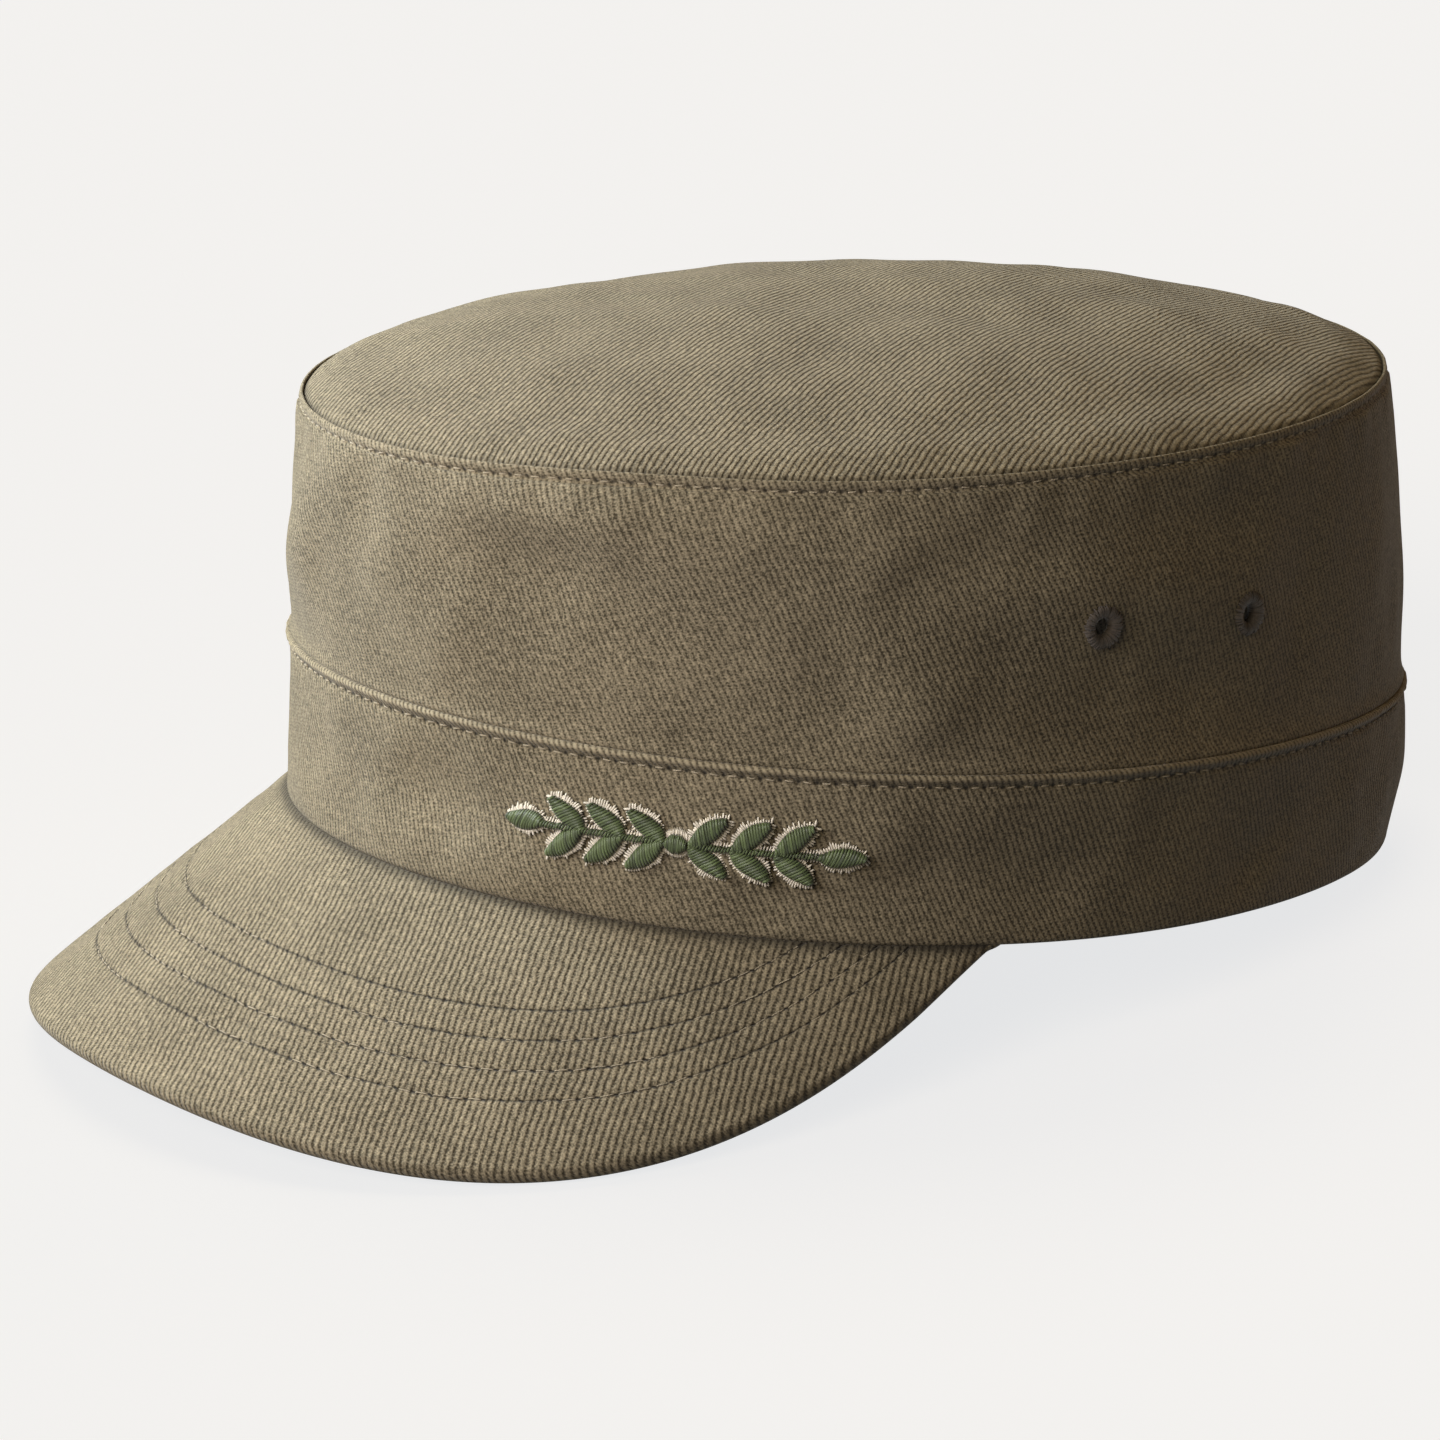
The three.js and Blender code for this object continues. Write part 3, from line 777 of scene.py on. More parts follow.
ridge_points = ridge_points + oval_normal("top", angle) * ridge_push[..., None]
inner_height = inner_heights[:, None] + 0 * angle
inner_points = side_point(angle + 0 * inner_height, inner_height, CLOTH)
inner_foot = band_point(angle, BAND_HEIGHT - SIDE_TUCK + 0 * angle, TUCK_IN - CLOTH + 0 * angle)
side_points = np.concatenate([tuck_points, wall_points, ridge_points, inner_points, inner_foot])
ridge_start = len(tuck_points) + len(wall_points)
ridge_end = ridge_start + RIDGE_ROWS
# Painted shade on the tucked cloth and in the ridge's inner crease; the ridge's crest is lighter with wear.
side_tone = np.zeros(side_points.shape[:2])
side_tone[: len(tuck_points) - 2] = TUCK_PAINTED_SHADE
wear_and_painted_light = form["wear_and_painted_light"] * bump_at(RIDGE[:, :1] - 0.9 * RIDGE_WIDE, form["wear_and_painted_light_wide"])
side_tone[ridge_start:ridge_end] += wear_and_painted_light
side_tone[ridge_end - 4 : ridge_end] = RIDGE_CREASE_PAINTED_SHADE
side_away = np.full(side_points.shape[:2], FAR)
side_away[len(tuck_points) : ridge_start] = seam_distance
side_away[ridge_start:ridge_end] = RIDGE[:, 1:] - TOP_STITCH_UP
side_patch = ring_patch(side_points, side_tone, top_stitch, side_away)
side_cloth = sew("crown_side_cloth", [side_patch], crown_twill, "crown_twill", "crown_side")

# %% [markdown]
# The vent holes go right through the side. A short cylinder at each one is cut out with a Boolean, applied
# at once so that only its result stays. The cutter's axis follows the cloth's own slope there.

# %% Cut the vent holes
EYELETS = [
    dict(name="eyelet_left_front", angle=82, height=0.475),
    dict(name="eyelet_left_rear", angle=103.5, height=0.443),
    dict(name="eyelet_right_front", angle=-82, height=0.475),
    dict(name="eyelet_right_rear", angle=-103.5, height=0.443),
]
EYELET_BORE = 1.15
CLOTH_TO_BORE = 0.9  # the cloth ends this far outside the bore, under its thread
CUTTER_HALF = 5


def eyelet_seat(eyelet):
    """The place on the side and three directions there: round the cap, up the cloth and outwards."""
    a = np.array(math.radians(eyelet["angle"]))
    h = np.array(eyelet["height"])
    place = side_point(a, h)
    across = unit(side_point(a + 0.02, h) - side_point(a - 0.02, h))
    upward = unit(side_point(a, h + 0.02) - side_point(a, h - 0.02))
    outward = unit(np.cross(across, upward))
    return place, across, np.cross(outward, across), outward


def seated(local, seat):
    """Local points (x round the cap, y up, z out) placed on an eyelet's seat."""
    place, across, upward, outward = seat
    return place + local[..., :1] * across + local[..., 1:2] * upward + local[..., 2:] * outward


def cutter_patch(seat):
    """A cylinder round the hole's axis, with its ends closed to points."""
    turn = np.linspace(0, TAU, 20, endpoint=False)[None, :]
    reach = EYELET_BORE + CLOTH_TO_BORE
    radius = np.array([0, reach, reach, 0])[:, None]
    depth = CUTTER_HALF * np.array([-1, -1, 1, 1])[:, None]
    local = vectors(radius * np.cos(turn), radius * np.sin(turn), depth)
    return grid_patch(seated(local, seat), np.zeros((5, 21, 2)), facts(0.0), False, True)


cutters = [cutter_patch(eyelet_seat(eyelet)) for eyelet in EYELETS]
cutter = sew("hole_cutter", cutters, crown_twill, "crown_twill")
boolean = side_cloth.modifiers.new("holes", "BOOLEAN")
boolean.operation = "DIFFERENCE"
boolean.object = cutter
bpy.context.view_layer.update()
cut = bpy.data.meshes.new_from_object(side_cloth.evaluated_get(bpy.context.evaluated_depsgraph_get()))
side_cloth.modifiers.clear()
side_cloth.data = cut
bpy.data.objects.remove(cutter)
print("crown side after cutting:", len(cut.polygons), "faces")

# %% [markdown]
# The top is one oval of twill, domed by the stuffing of seam allowance round its edge and by the cloth's
# own stiffness. Near the seam it puffs up between stitches and dives into the crease beside the ridge.

# %% Sew the crown's top
TOP_RIM_OUT = 0.3
DOME_LEAN = 0.8  # the dome is this much fuller on one side than on the other
DOME_LOW_SIDE = np.array([0.52, 0.85])
# Tone and its width are the painted shade in the crease along the rim.
TOP_FORM = dict(rim_wave=0.12, puff=0.8, puff_at=6, dive=0.55, dive_wide=0.5, tone=-0.6, tone_wide=0.6)
TOP_COLUMNS = 420
TOP_ROWS = 84


def top_point(angle, share, drop):
    """The rim's oval x share, at the seam's level + rise x (1 - share^power) - lean - drop.

    The lean is x 4 share^2 (1 - share^2), so it leaves the middle and the rim where they are.
    """
    rim = oval_point("top", angle, TOP_RIM_OUT)
    flat = rim[..., :2] * np.asarray(share)[..., None]
    lean = DOME_LEAN * (flat @ DOME_LOW_SIDE) / BAND_RADIUS * 4 * share**2 * (1 - share**2)
    level = seam_level(flat, share) + DOME_RISE * (1 - share**DOME_POWER) - lean - drop
    return np.concatenate([flat, level[..., None]], axis=-1)


angle = np.linspace(-math.pi, math.pi, TOP_COLUMNS, endpoint=False)[None, :]
share = np.concatenate([np.linspace(0, 0.93, TOP_ROWS - 24), np.linspace(0.935, 1, 24)])[:, None]
outer_top = top_point(angle, share + 0 * angle, 0.1)
edge = (1 - share) * oval_radius("top", angle)
rim_arc = np.interp(angle, AROUND, top_arc)
lift = ripples(outer_top[..., 0], outer_top[..., 1], (0.3, 42, 11), (0.13, 16, 12))
lift = lift * np.minimum(1, edge / 8)
form = TOP_FORM
rim_wave = form["rim_wave"] * ripple(rim_arc, 0.4 * edge, 10, 13)
lift = lift + rim_wave * bump_at(edge - 3, 4) * np.minimum(1, edge / 1.5)
puff = form["puff"] * bump_at(edge - form["puff_at"], form["puff_at"])
lift = lift + puff - form["dive"] * bump_at(edge, form["dive_wide"])
outer_top[..., 2] += lift
under_share = np.linspace(1, 0, 26)[:, None]
inner_top = top_point(angle, under_share + 0 * angle, 0.35 + CLOTH)
top_points = np.concatenate([outer_top, inner_top])
top_flat = np.concatenate([top_points, top_points[:, :1]], axis=1)[..., :2]
# Painted shade in the crease along the rim beside the ridge, and a little under the top, inside the crown.
rim_crease_painted_shade = form["tone"] * bump_at(edge, form["tone_wide"])
top_tone = np.concatenate([rim_crease_painted_shade, 0 * under_share - 0.1 + 0 * angle])
top_patch = grid_patch(top_points, top_flat, facts(top_tone), False, True)
sew("crown_top_cloth", [top_patch], top_twill, "crown_twill", "crown_top")

# %% Stitches under the ridge
curve = rolled(AROUND, TOP_STITCH_OUT - 0.08, TOP_STITCH_UP)
facing = oval_normal("top", AROUND)
ridge_stitches = stitches(curve, facing, stitch_count(top_arc[-1]), 21)
sew("crown_stitches", [ridge_stitches], seam_thread, "crown_twill")

# %% [markdown]
# The band is a doubled strip. Its upper edge is folded over a cord of seam allowance, and a row of stitches
# just below turns that fold into a raised welt. Its hem is flat, and the cap stands on it at the back.

# %% Sew the band
BAND_STITCH_LEVEL = BAND_HEIGHT - 1.95
# Wear and painted light on the welt's crest, and painted shade along the hem.
BAND_FORM = dict(pull=0.16, pull_wide=0.55, welt_wave=0.09, groove=0.5, wear_and_painted_light=0.9, hem_painted_shade=-0.2)
face_levels = np.linspace(0.9, BAND_STITCH_LEVEL - 0.7, 46)
HEM_ROWS = smooth_curve([(0.35, -1.9), (0.0, -1.5), (0.0, -0.75), (0.3, -0.15), (0.9, 0.0)], 9)[:-1]
WELT_ROWS = smooth_curve(
    [
        (BAND_STITCH_LEVEL - 0.7, 0.0),
        (BAND_STITCH_LEVEL, -0.14),
        (BAND_HEIGHT - 1.45, 0.04),
        (BAND_HEIGHT - 1.1, 0.34),
        (BAND_HEIGHT - 0.65, 0.6),
        (BAND_HEIGHT - 0.15, 0.5),
        (BAND_HEIGHT + 0.12, 0.05),
        (BAND_HEIGHT - 0.1, -0.7),
        (BAND_HEIGHT - 1.0, -1.35),
    ],
    22,
)[1:]
BACK_ROWS = smooth_curve([(BAND_HEIGHT - 3, -BAND_WALL), (14, -BAND_WALL), (0.7, -BAND_WALL)], 14)
face_rows = vectors(face_levels, 0.0)
band_rows = np.concatenate([HEM_ROWS, face_rows, WELT_ROWS, BACK_ROWS])
angle = ANGLES[None, :]
arc_here = np.interp(ANGLES, AROUND, band_arc)[None, :]
level = band_rows[:, :1] + 0 * angle
out = band_rows[:, 1:] + 0 * angle
outside = (np.arange(len(band_rows)) < len(band_rows) - len(BACK_ROWS) - 3)[:, None]
face = np.minimum(1, np.maximum(0, np.minimum(level - 0.5, BAND_HEIGHT - level) / 5)) * outside
push = face * ripples(arc_here, level, (0.32, 30, 31), (0.1, 12, 32))
band_stitch = np.interp(ANGLES, AROUND, stitched(band_arc))[None, :]
form = BAND_FORM
push = push - outside * form["pull"] * pulled(band_stitch, level - BAND_STITCH_LEVEL, form["pull_wide"])
welt_wave = form["welt_wave"] * ripple(arc_here, level, 6, 33) * bump_at(level - BAND_HEIGHT + 1, 1.2)
push = push + outside * (welt_wave + form["groove"] * back_groove(angle))
push = push + outside * band_swell(angle, level)
band_points = band_point(angle + 0 * level, level, out + push)
# The welt's crest is lighter, with wear and a painted highlight; painted shade darkens the slope under it and
# the hem.
crest = form["wear_and_painted_light"] * bump_at(level - BAND_HEIGHT + 0.5, 0.5)
band_tone = crest - 0.15 * bump_at(level - BAND_HEIGHT + 1.45, 0.35)
band_tone = outside * (band_tone + form["hem_painted_shade"] * bump_at(level, 1.2))
band_away = np.where(outside, level - BAND_STITCH_LEVEL, FAR)
band_patch = ring_patch(band_points, band_tone, band_stitch, band_away)
sew("band_cloth", [band_patch], band_twill, "band_twill", "band")
curve_out = band_swell(AROUND, BAND_STITCH_LEVEL) - 0.2
curve = band_point(AROUND, BAND_STITCH_LEVEL + 0 * AROUND, curve_out)
band_stitches = stitches(curve, oval_normal("band", AROUND), stitch_count(band_arc[-1]), 22)
sew("band_stitches", [band_stitches], seam_thread, "band_twill")

# %% [markdown]
# The peak is a stiff board between two layers of twill. It is a ruled shape: from each point of the hem a
# straight line reaches outwards and falls, more steeply towards the sides. Its cloth was cut flat, so the
# ribs run straight over it. Such a surface unrolls without stretching: narrow strips between its lines are
# laid down side by side, and their places in the plane are the cut pattern that the weave follows.

# %% Shape of the peak
PEAK_LENGTH = 56.9
PEAK_HALF_ANGLE = 73
PEAK_THICK = 3
PEAK_TIP_THICK = 1.4
PEAK_TIP_LENGTH = 1.2
PEAK_THIN_OVER = 12
PEAK_FLANGE = 2.0
PEAK_DROP = dict(middle=34.3, square=29.8, quartic=-13.4, bow=0.8)
PEAK_PLAN = dict(widen=0.14, power=3.7, taper=1.63, forward=0.33)
PEAK_ROW_OFFSETS = 15.1 + 6.27 * np.arange(4)  # stitch rows, from the outer edge
HEM_LAP = 0.1  # the peak starts this far inside the hem, so no light passes between them
TIP_TUCK = 1.6  # the two tips go in behind the hem, and as far up


def peak_length(u):
    """Length x (1 + widen u^2) x (1 - |u|^power)^taper, with u from -1 to 1 along the hem."""
    k = PEAK_PLAN
    plan = (1 + k["widen"] * u**2) * (1 - np.abs(u) ** k["power"]) ** k["taper"]
    return np.maximum(PEAK_LENGTH * plan, PEAK_TIP_LENGTH)


def peak_lines(u):
    """Start, outward reach, length, slope and thickness of the peak's straight lines at u.

    The slope is middle + square u^2 + quartic u^4 degrees.
    """
    a = u * math.radians(PEAK_HALF_ANGLE)
    forward = PEAK_PLAN["forward"]
    reach = unit((1 - forward) * oval_normal("hem", a) + forward * np.array([0.0, -1.0, 0.0]))
    length = peak_length(u)
    slope = np.radians(PEAK_DROP["middle"] + PEAK_DROP["square"] * u**2 + PEAK_DROP["quartic"] * u**4)
    thick = PEAK_TIP_THICK + (PEAK_THICK - PEAK_TIP_THICK) * np.clip(length / PEAK_THIN_OVER, 0, 1)
    tuck = TIP_TUCK * u**40
    return oval_point("hem", a, -tuck, HEM_LAP + 0.9 * tuck), reach, length, slope, thick


def leaned(reach, slope, square=False):
    """The direction that falls from reach by a slope, or the one square to it that points up."""
    flat = np.sin(slope) if square else np.cos(slope)
    rise = np.cos(slope) if square else -np.sin(slope)
    return reach * flat[..., None] + np.array([0.0, 0.0, 1.0]) * rise[..., None]


def peak_point(u, along, depth):
    """Along mm down the line at u, which steepens by bow degrees on its way, and depth mm below it."""
    start, reach, length, slope, _ = peak_lines(u)
    bow = math.radians(PEAK_DROP["bow"]) * 0.5 * (along / length - 1)
    point = start + leaned(reach, slope + bow) * np.asarray(along)[..., None]
    return point - leaned(reach, slope + 2 * bow, True) * np.asarray(depth)[..., None]


# %% The peak's cloth laid flat
strip_u = np.linspace(-1, 1, 2001)
strip_start, strip_reach, _, strip_slope, _ = peak_lines(strip_u)
strip_line = leaned(strip_reach, strip_slope)
strip_turn = np.arccos(np.clip(np.sum(strip_line[1:] * strip_line[:-1], axis=-1), -1, 1))
heading = np.concatenate([[0.0], np.cumsum(strip_turn)])
heading = heading - heading[len(heading) // 2]
hem_step = np.diff(strip_start, axis=0)
step_along = np.sum(hem_step * (strip_line[1:] + strip_line[:-1]) / 2, axis=-1)
step_across = np.sqrt(np.maximum(np.sum(hem_step**2, axis=-1) - step_along**2, 0))
step_heading = (heading[1:] + heading[:-1]) / 2
step_x = step_along * np.sin(step_heading) + step_across * np.cos(step_heading)
step_y = step_across * np.sin(step_heading) - step_along * np.cos(step_heading)
hem_x = np.concatenate([[0.0], np.cumsum(step_x)])
hem_y = np.concatenate([[0.0], np.cumsum(step_y)])
print("the peak's pattern turns through", round(math.degrees(heading[-1] - heading[0]), 1), "degrees")


def peak_flat(u, along):
    """A point of the cut pattern: each strip between two lines keeps its own width and angle when flat."""
    turn = np.interp(u, strip_u, heading)
    x = np.interp(u, strip_u, hem_x) + along * np.sin(turn)
    y = np.interp(u, strip_u, hem_y) - along * np.cos(turn)
    return vectors(x, y)


# %% Sew the peak
PEAK_COLUMNS = 250
PEAK_ROWS = 128
NOSE = 1.25
u = np.sin(np.linspace(-math.pi / 2, math.pi / 2, PEAK_COLUMNS))[None, :] * 0.35
u = u + 0.65 * np.linspace(-1, 1, PEAK_COLUMNS)[None, :]
start, reach, length, slope, thick = peak_lines(u)
nose = np.minimum(NOSE, 0.45 * length)
share = np.linspace(0, 1, PEAK_ROWS)[:, None]
top_along = share * (length - nose)
turn = np.linspace(0, math.pi, 11)[1:-1, None]
nose_along = length - nose + nose * np.sin(turn)
nose_depth = 0.5 * thick * (1 - np.cos(turn))
under_share = np.linspace(1, 0, 70)[:, None]
under_along = under_share * (length - nose)


def stitch_row(offset):
    """The stretch of u where a row lies offset mm inside the outer edge, and the stitches sewn along it."""
    u_line = np.linspace(-1, 1, 1200)
    u_line = u_line[peak_length(u_line) > offset + 0.5]
    return u_line, stitched(arc_lengths(peak_point(u_line, peak_length(u_line) - offset, 0.0)))


def near_rows(u, edge_distance):
    """The stitches and distance of the nearest row at each point, and the pull of all rows together."""
    stitch, away, pull = 0 * edge_distance, FAR + 0 * edge_distance, 0
    for offset in PEAK_ROW_OFFSETS:
        here = np.interp(u, *stitch_row(offset))
        off = edge_distance - offset
        nearer = np.abs(off) < np.abs(away)
        stitch = np.where(nearer, here, stitch)
        away = np.where(nearer, off, away)
        pull = pull + pulled(here, off, 0.62)
    return stitch, away, pull


def edges_doubled(table):
    """A table with its first and last columns written twice, for the faces that close the peak's ends."""
    return np.concatenate([table[:, :1], table, table[:, -1:]], axis=1)


def peak_relief(u, along, seed):
    """Depth of the upper or lower face below its plain shape: 0.22 x the rows' pull less soft ripples."""
    x, y = np.moveaxis(peak_flat(u, along), -1, 0)
    soft = ripples(x, y, (0.16, 26, seed), (0.05, 9, seed + 1))
    edge_distance = peak_length(u) - along
    fade = np.clip(np.minimum(along, edge_distance) / 6, 0, 1)
    return 0.22 * near_rows(u, edge_distance)[2] - soft * fade


u_grid = u + 0 * top_along
top_face = peak_point(u_grid, top_along, peak_relief(u_grid, top_along, 41))
nose_face = peak_point(u + 0 * nose_along, nose_along, nose_depth)
u_under = u + 0 * under_along
under_face = peak_point(u_under, under_along, thick - peak_relief(u_under, under_along, 43))
flange = start - PEAK_FLANGE * oval_normal("hem", u * math.radians(PEAK_HALF_ANGLE))
flange_under = flange - np.array([0.0, 0.0, 1.0]) * thick[..., None]
peak_points = np.concatenate([top_face, nose_face, under_face, flange_under, flange])
top_pattern = peak_flat(u_grid, top_along)
nose_pattern = peak_flat(u + 0 * nose_along, length - nose + 0 * nose_along + nose * turn)
under_pattern = peak_flat(u_under, length + 2 * nose + (length - nose - under_along))
flange_pattern = np.repeat(under_pattern[-1:], 2, axis=0)
peak_pattern = np.concatenate([top_pattern, nose_pattern, under_pattern, flange_pattern, flange_pattern[:1]])
peak_points = edges_doubled(peak_points)
for end in (0, -1):
    peak_points[:, end] = peak_points[:, end].mean(axis=0)
peak_pattern = edges_doubled(peak_pattern)
edge_distance = length - top_along
upper_stitch, upper_away, _ = near_rows(u_grid, edge_distance)
under_stitch, under_away, _ = near_rows(u_under, length - under_along)
# Painted shadow on the peak under the band's hem and towards its tips, and slightly darker where the nose
# begins.
peak_top_painted_shade = -0.05 * bump_at(edge_distance - nose, 1.0) - 0.75 * bump_at(top_along, 1.6)
peak_top_painted_shade = peak_top_painted_shade - 0.3 * np.abs(u_grid) ** 6
# Painted light on the lower half of the nose, which faces down into shade.
nose_painted_light = 0.45 * bump_at(turn - 2.0, 0.8) - 0.05 + 0 * u
# The underside is a little darker and the flange under the hem darker still: painted shade.
peak_known = np.concatenate(
    [
        facts(peak_top_painted_shade, upper_stitch, upper_away),
        facts(nose_painted_light),
        facts(-0.1, under_stitch, under_away),
        facts(np.full((2, PEAK_COLUMNS), -0.5)),
    ]
)
peak_patch = grid_patch(peak_points, peak_pattern, edges_doubled(peak_known), True, False)
sew("peak_cloth", [peak_patch], peak_twill, "peak_twill", "peak")

# %% Rows of stitches on both faces of the peak


def peak_row(offset, under, seed):
    """Stitches along the line that lies offset mm inside the outer edge, on the upper or lower face."""
    u_line, sewn = stitch_row(offset)
    along = peak_length(u_line) - offset
    depth = peak_lines(u_line)[4] - 0.16 if under else 0.16 + 0 * along
    line = peak_point(u_line, along, depth)
    step = 0.002
    across = peak_point(u_line + step, along, depth) - peak_point(u_line - step, along, depth)
    falling = peak_point(u_line, along + 0.1, depth) - peak_point(u_line, along - 0.1, depth)
    facing = unit(np.cross(falling, across))
    facing = facing * np.sign(facing[:, 2:]) * (-1 if under else 1)
    return stitches(line, facing, round(sewn[-1]), seed, radius=0.1, rise=0.0, sink=0.2, hole=0.1)


peak_rows = [peak_row(offset, False, 51 + k) for k, offset in enumerate(PEAK_ROW_OFFSETS)]
peak_rows += [peak_row(offset, True, 61 + k) for k, offset in enumerate(PEAK_ROW_OFFSETS)]
sew("peak_stitches", peak_rows, seam_thread, "peak_twill")

# %% [markdown]
# Each vent hole is bound with satin stitch: threads laid side by side that come up at the rim, cross the
# edge and dive down the hole. A soft core under them fills the gaps, as the cloth's folded edge does.

# %% Eyelets
EYELET_THREADS = 46
THREAD_PATH = [(3.65, -0.25), (3.4, 0.25), (2.9, 0.55), (2.3, 0.42), (1.85, 0.05), (1.62, -0.6), (1.6, -1.7)]
CORE_PATH = [(3.3, -0.3), (3.05, 0.15), (2.6, 0.33), (2.2, 0.18), (1.95, -0.15), (1.85, -1.8), (3.1, -2.0)]


def eyelet_patches(eyelet, seed):
    """Threads on a path of (radius, height) at even turns, with ragged outer ends, over a lathed core."""
    draw = np.random.default_rng(seed)
    seat = eyelet_seat(eyelet)
    turn = np.arange(EYELET_THREADS) / EYELET_THREADS * TAU + draw.uniform(-0.04, 0.04, EYELET_THREADS)
    path = smooth_curve(THREAD_PATH, 11)
    ragged = draw.uniform(-0.22, 0.22, (EYELET_THREADS, 1)) * np.linspace(1, 0, 11)[None, :] ** 2
    radius = path[None, :, 0] + ragged
    depth = path[None, :, 1] + draw.uniform(-0.05, 0.05, (EYELET_THREADS, 1))
    lean = turn[:, None] + draw.uniform(-0.06, 0.06, (EYELET_THREADS, 1)) * np.linspace(1, -1, 11)
    local = vectors(radius * np.cos(lean), radius * np.sin(lean), depth)
    lines = seated(local, seat)
    facing = np.broadcast_to(seat[3], lines.shape)
    threads = thread_patch(lines, facing, 0.23, draw.uniform(-0.35, 0.35, EYELET_THREADS))
    core = smooth_curve(CORE_PATH, 14)
    round_turn = np.linspace(0, TAU, 32, endpoint=False)[None, :]
    ring = vectors(core[:, :1] * np.cos(round_turn), core[:, :1] * np.sin(round_turn), core[:, 1:])
    # The core is darkened with painted shade, for it lies under the threads and down the hole.
    return [threads, grid_patch(seated(ring, seat), np.zeros((15, 33, 2)), facts(-0.6), True, True)]


for seed, eyelet in enumerate(EYELETS):
    name = eyelet["name"]
    sew(name + "_thread", eyelet_patches(eyelet, 71 + seed), eyelet_thread, "eyelet_thread", name)

# %% [markdown]
# The sprig is embroidery in two passes. First a pale zigzag is laid under each leaf and left to show
# raggedly round it. Then each leaf is filled with padded satin stitch, threads side by side that arch over
# the leaf from edge to edge. The whole is drawn flat and then wrapped round the band.

# %% Layout of the sprig
SPRIG_ANGLE = 40
SPRIG_LEVEL = 14.5
SPRIG_PAIRS = 3
LEAF = dict(length=8.2, width=3.6, lean=37, pitch=7, first=2.4)
SATIN = dict(pitch=0.5, slant=0.55, foot=0.4, rise=1.15, radius=0.28)
GROUND = dict(pitch=0.36, margin=0.9, foot=0.22, rise=0.22, radius=0.19)
STEM_WIDE = 1.2
BUD_RADIUS = 1.8


def on_band(local):
    """Flat points (x along the band, y up from the sprig's level, z out) wrapped round the band."""
    middle = math.radians(SPRIG_ANGLE)
    a = middle + local[..., 0] / oval_radius("band", np.array(middle))
    level = SPRIG_LEVEL + local[..., 1]
    return band_point(a, level, local[..., 2] + band_swell(a, level))


def leaf_places():
    """Foot, direction and size of every leaf: pairs along both halves of the stem and one at each end."""
    places = []
    for half in (0.0, math.pi):
        for pair in range(SPRIG_PAIRS + 1):
            for side in ((0,) if pair == SPRIG_PAIRS else (-1, 1)):
                x = LEAF["first"] + pair * LEAF["pitch"] - 0.4
                foot = np.array([x * math.cos(half), x * math.sin(half)])
                places.append((foot, half + side * math.radians(LEAF["lean"])))
    return places


def half_width(t):
    """Half the leaf's width at share t of its length: width x 2t(1-t), fuller towards its foot."""
    return LEAF["width"] * 2 * t * (1 - t) * (1.12 - 0.24 * t)


def laid(starts, ends, foot, rise, radius, draw, steps=9):
    """Threads from starts to ends on the flat, at foot + rise x (1 - |2t-1|^2.6) above the band."""
    t = np.linspace(0, 1, steps)
    flat = starts[:, None] * (1 - t)[None, :, None] + ends[:, None] * t[None, :, None]
    out = foot + rise * (1 - np.abs(2 * t - 1) ** 2.6) + draw.uniform(-0.08, 0.08, (len(starts), 1))
    lines = on_band(vectors(flat[..., 0], flat[..., 1], out))
    facing = on_band(vectors(flat[..., 0], flat[..., 1], out + 1.0)) - lines
    return thread_patch(lines, facing, radius, draw.uniform(-0.6, 0.6, len(starts)))


# %% Stitch the leaves
draw = np.random.default_rng(81)
leaf_threads = []
ground_threads = []
for foot, heading in leaf_places():
    along = np.array([math.cos(heading), math.sin(heading)])
    across = np.array([-along[1], along[0]])
    t = np.arange(0.06, 0.97, SATIN["pitch"] / LEAF["length"])
    reach = half_width(t) + 0.12
    spine = foot + along * (t * LEAF["length"])[:, None]
    starts = spine - across * reach[:, None] - along * SATIN["slant"] * reach[:, None]
    ends = spine + across * reach[:, None] + along * SATIN["slant"] * reach[:, None] * 0.6
    leaf_threads.append(laid(starts, ends, SATIN["foot"], SATIN["rise"], SATIN["radius"], draw))
    rim = np.arange(0.0, 1.0, GROUND["pitch"] / LEAF["length"])
    for side in (-1, 1):
        edge = foot + along * (rim * LEAF["length"])[:, None] + side * across * half_width(rim)[:, None]
        away = unit(side * across + along * (2.2 * (rim - 0.5))[:, None])
        tips = edge + away * (GROUND["margin"] + draw.uniform(-0.45, 0.3, len(rim)))[:, None]
        roots = edge - away * np.minimum(1.0, half_width(rim) + 0.3)[:, None]
        ground_threads.append(laid(roots, tips, GROUND["foot"], GROUND["rise"], GROUND["radius"], draw, 7))

# %% Stitch the stem and the bud
reach = LEAF["first"] + SPRIG_PAIRS * LEAF["pitch"]
x = np.arange(-reach, reach, SATIN["pitch"])
for half, store, foot_out, rise, radius in (
    (0.5 * STEM_WIDE, leaf_threads, 0.6, 0.85, 0.19),
    (0.5 * STEM_WIDE + 0.6, ground_threads, 0.2, 0.3, 0.18),
):
    tuck = draw.uniform(-0.12, 0.12, len(x))
    starts = vectors(x - 0.3, tuck - half)
    ends = vectors(x + 0.3, tuck + half)
    store.append(laid(starts, ends, foot_out, rise, radius, draw))
for radius_flat, store, foot_out, rise in (
    (BUD_RADIUS, leaf_threads, 0.8, 1.2),
    (BUD_RADIUS + GROUND["margin"], ground_threads, 0.25, 0.3),
):
    x = np.arange(-radius_flat + 0.1, radius_flat, 0.28)
    half = np.sqrt(radius_flat**2 - x**2) + draw.uniform(-0.1, 0.1, len(x))
    store.append(laid(vectors(x, -half), vectors(x, half), foot_out, rise, 0.2, draw))
sew("sprig_ground_thread", ground_threads, cream_thread, "cream_thread", "sprig_ground")
sew("sprig_leaf_thread", leaf_threads, green_thread, "green_thread", "sprig_leaves")

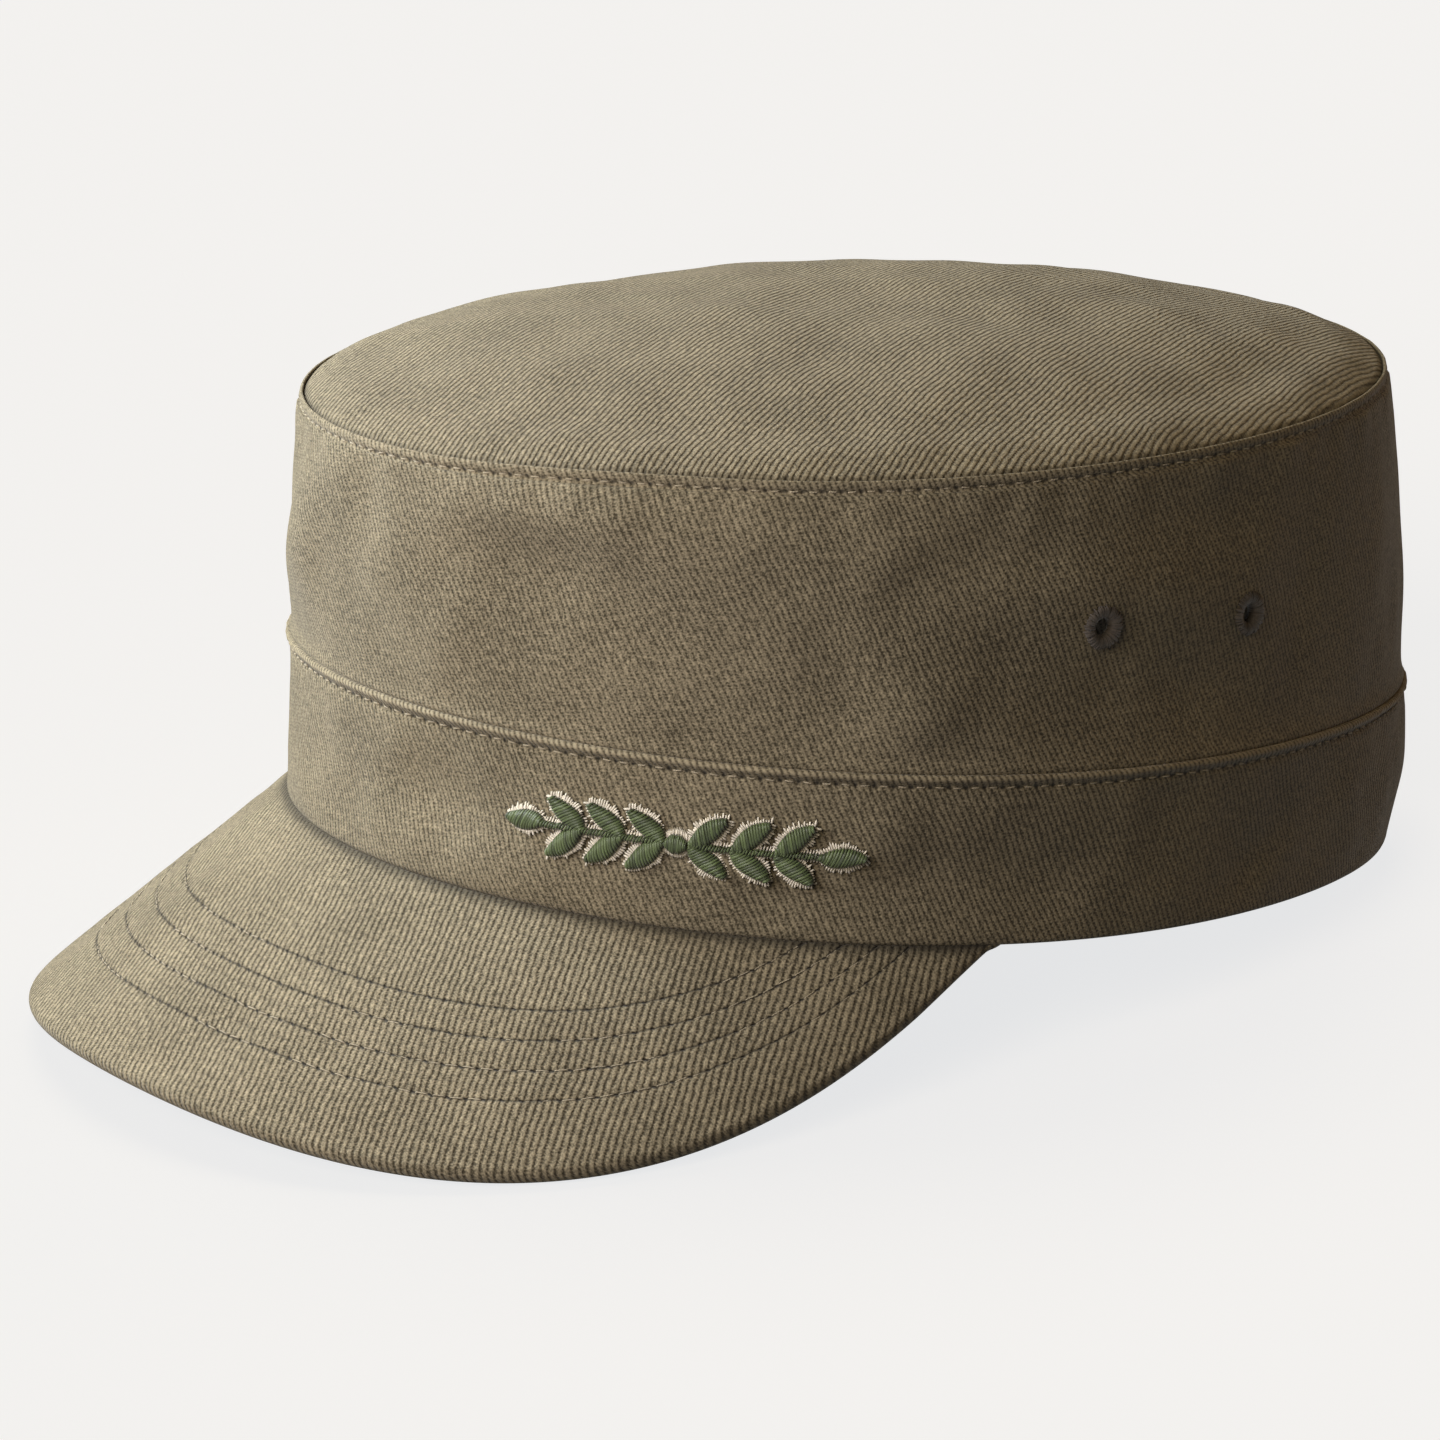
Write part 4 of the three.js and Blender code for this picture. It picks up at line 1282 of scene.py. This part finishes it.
# %% [markdown]
# The camera stands where the photo was taken, described round the cap: how far round from the peak, how
# high, and how far away. The lights are described from the camera, since that is how a studio is set up.

# %% Camera
CAMERA_AZIMUTH = 58.52
CAMERA_ELEVATION = 17.34
CAMERA_ROLL = -4.87
CAMERA_DISTANCE = 1166.4
CAMERA_TARGET = Vector((-14.85, 6.20, 33.98))
CAMERA_LENS = 167.07


def turned(azimuth, elevation):
    """(sin a cos e, -cos a cos e, sin e): a degrees round from the peak and e degrees up."""
    a = math.radians(azimuth)
    e = math.radians(elevation)
    return Vector((math.sin(a) * math.cos(e), -math.cos(a) * math.cos(e), math.sin(e)))


back = turned(CAMERA_AZIMUTH, CAMERA_ELEVATION)
level_right = turned(CAMERA_AZIMUTH + 90, 0)
level_axes = Matrix((level_right, back.cross(level_right), back)).transposed().to_4x4()
roll = Matrix.Rotation(math.radians(CAMERA_ROLL), 4, "Z")
camera = bpy.data.objects.new("camera", bpy.data.cameras.new("camera"))
stand = Matrix.Translation((CAMERA_TARGET + back * CAMERA_DISTANCE) * MM)
camera.matrix_world = stand @ level_axes @ roll
camera.data.lens = CAMERA_LENS
camera.data.sensor_width = 36
camera.data.clip_start = 0.05
bpy.context.scene.collection.objects.link(camera)
bpy.context.scene.camera = camera
print("the camera stands", round(CAMERA_DISTANCE), "mm away, with a", CAMERA_LENS, "mm lens")

# %% [markdown]
# The light comes mostly from the left. Three soft boxes stand near the cap, so their light fades across it.
# A wide, warmer lamp fills the front, a faint one behind catches the top, a fainter one just finds the right
# edge, and the room adds almost nothing, so the right side stays dark. The soft boxes shine only on the cap,
# which keeps the floor even, and the floor glows a little for the same reason.

# %% Floor
FLOOR_HALF = 9.0
FLOOR_GAP = 0.0001
floor_mesh = bpy.data.meshes.new("floor")
floor_square = FLOOR_HALF * np.array([(-1, -1), (1, -1), (1, 1), (-1, 1)])
floor_mesh.from_pydata([(x, y, -FLOOR_GAP) for x, y in floor_square], [], [(0, 1, 2, 3)])
floor = bpy.data.objects.new("floor", floor_mesh)
bpy.context.scene.collection.objects.link(floor)
floor_paint, bench = new_bench("floor_paint")
finish_material(
    bench,
    Base_Color=(0.3, 0.3, 0.3, 1.0),
    Roughness=0.9,
    Specular_IOR_Level=0.1,
    Emission_Color=(0.985, 0.995, 1.01, 1.0),
    Emission_Strength=0.78,
)
floor_mesh.materials.append(floor_paint)
floor.visible_diffuse = False

# %% Lights and room
LIT_POINT = Vector((0.0, 0.0, 0.055))
SOFT_BOXES = [
    dict(name="box_left", turn=-115, rise=35, away=0.4, size=0.2, colour=(2.03, 2.2, 2.31)),
    dict(name="box_high", turn=-65, rise=35, away=0.6, size=0.3, colour=(1.7, 1.67, 1.5)),
    dict(name="box_front", turn=-40, rise=25, away=0.35, size=0.2, colour=(0.35, 0.335, 0.416)),
]
WIDE_LAMPS = [
    dict(name="lamp_front", turn=-30, rise=30, angle=35, colour=(1.07, 0.92, 0.7)),
    dict(name="lamp_behind", turn=180, rise=55, angle=35, colour=(0.68, 0.58, 0.4)),
    dict(name="lamp_right", turn=120, rise=20, angle=35, colour=(0.36, 0.21, 0.08)),
]
ROOM_LIGHT = (0.026, 0.021, 0.016, 1.0)
FLOOR_SEEN = 0.885

lit = bpy.data.collections.new("lit")
for piece in bpy.context.scene.objects:
    if piece.type == "MESH" and piece is not floor:
        lit.objects.link(piece)


def lamp(name, kind, toward, away, colour):
    """A lamp away metres from the lit point that faces it, with its power in its brightest channel."""
    data = bpy.data.lights.new(name, kind)
    data.energy = max(colour)
    data.color = [channel / max(colour) for channel in colour]
    light = bpy.data.objects.new(name, data)
    place = Matrix.Translation(LIT_POINT + toward * away)
    light.matrix_world = place @ toward.to_track_quat("Z", "Y").to_matrix().to_4x4()
    bpy.context.scene.collection.objects.link(light)
    return light


for box in SOFT_BOXES:
    toward = turned(CAMERA_AZIMUTH + box["turn"], box["rise"])
    light = lamp(box["name"], "AREA", toward, box["away"], box["colour"])
    light.data.shape = "DISK"
    light.data.size = box["size"]
    light.light_linking.receiver_collection = lit
for wide in WIDE_LAMPS:
    toward = turned(CAMERA_AZIMUTH + wide["turn"], wide["rise"])
    light = lamp(wide["name"], "SUN", toward, 1.0, wide["colour"])
    light.data.angle = math.radians(wide["angle"])
room = bpy.data.worlds.new("room")
bpy.context.scene.world = room
room.use_nodes = True
bench = Bench(room.node_tree)
seen = bench.add("ShaderNodeBackground", None, {"Color": (FLOOR_SEEN,) * 3 + (1.0,), "Strength": 1.0})
felt = bench.add("ShaderNodeBackground", None, {"Color": ROOM_LIGHT, "Strength": 1.0})
ray = bench.add("ShaderNodeLightPath", None, None, "Is Camera Ray")
sky = bench.add("ShaderNodeMixShader", None, {0: ray, 1: felt, 2: seen})
bench.add("ShaderNodeOutputWorld", None, {"Surface": sky})
bpy.context.scene.view_settings.view_transform = "Standard"
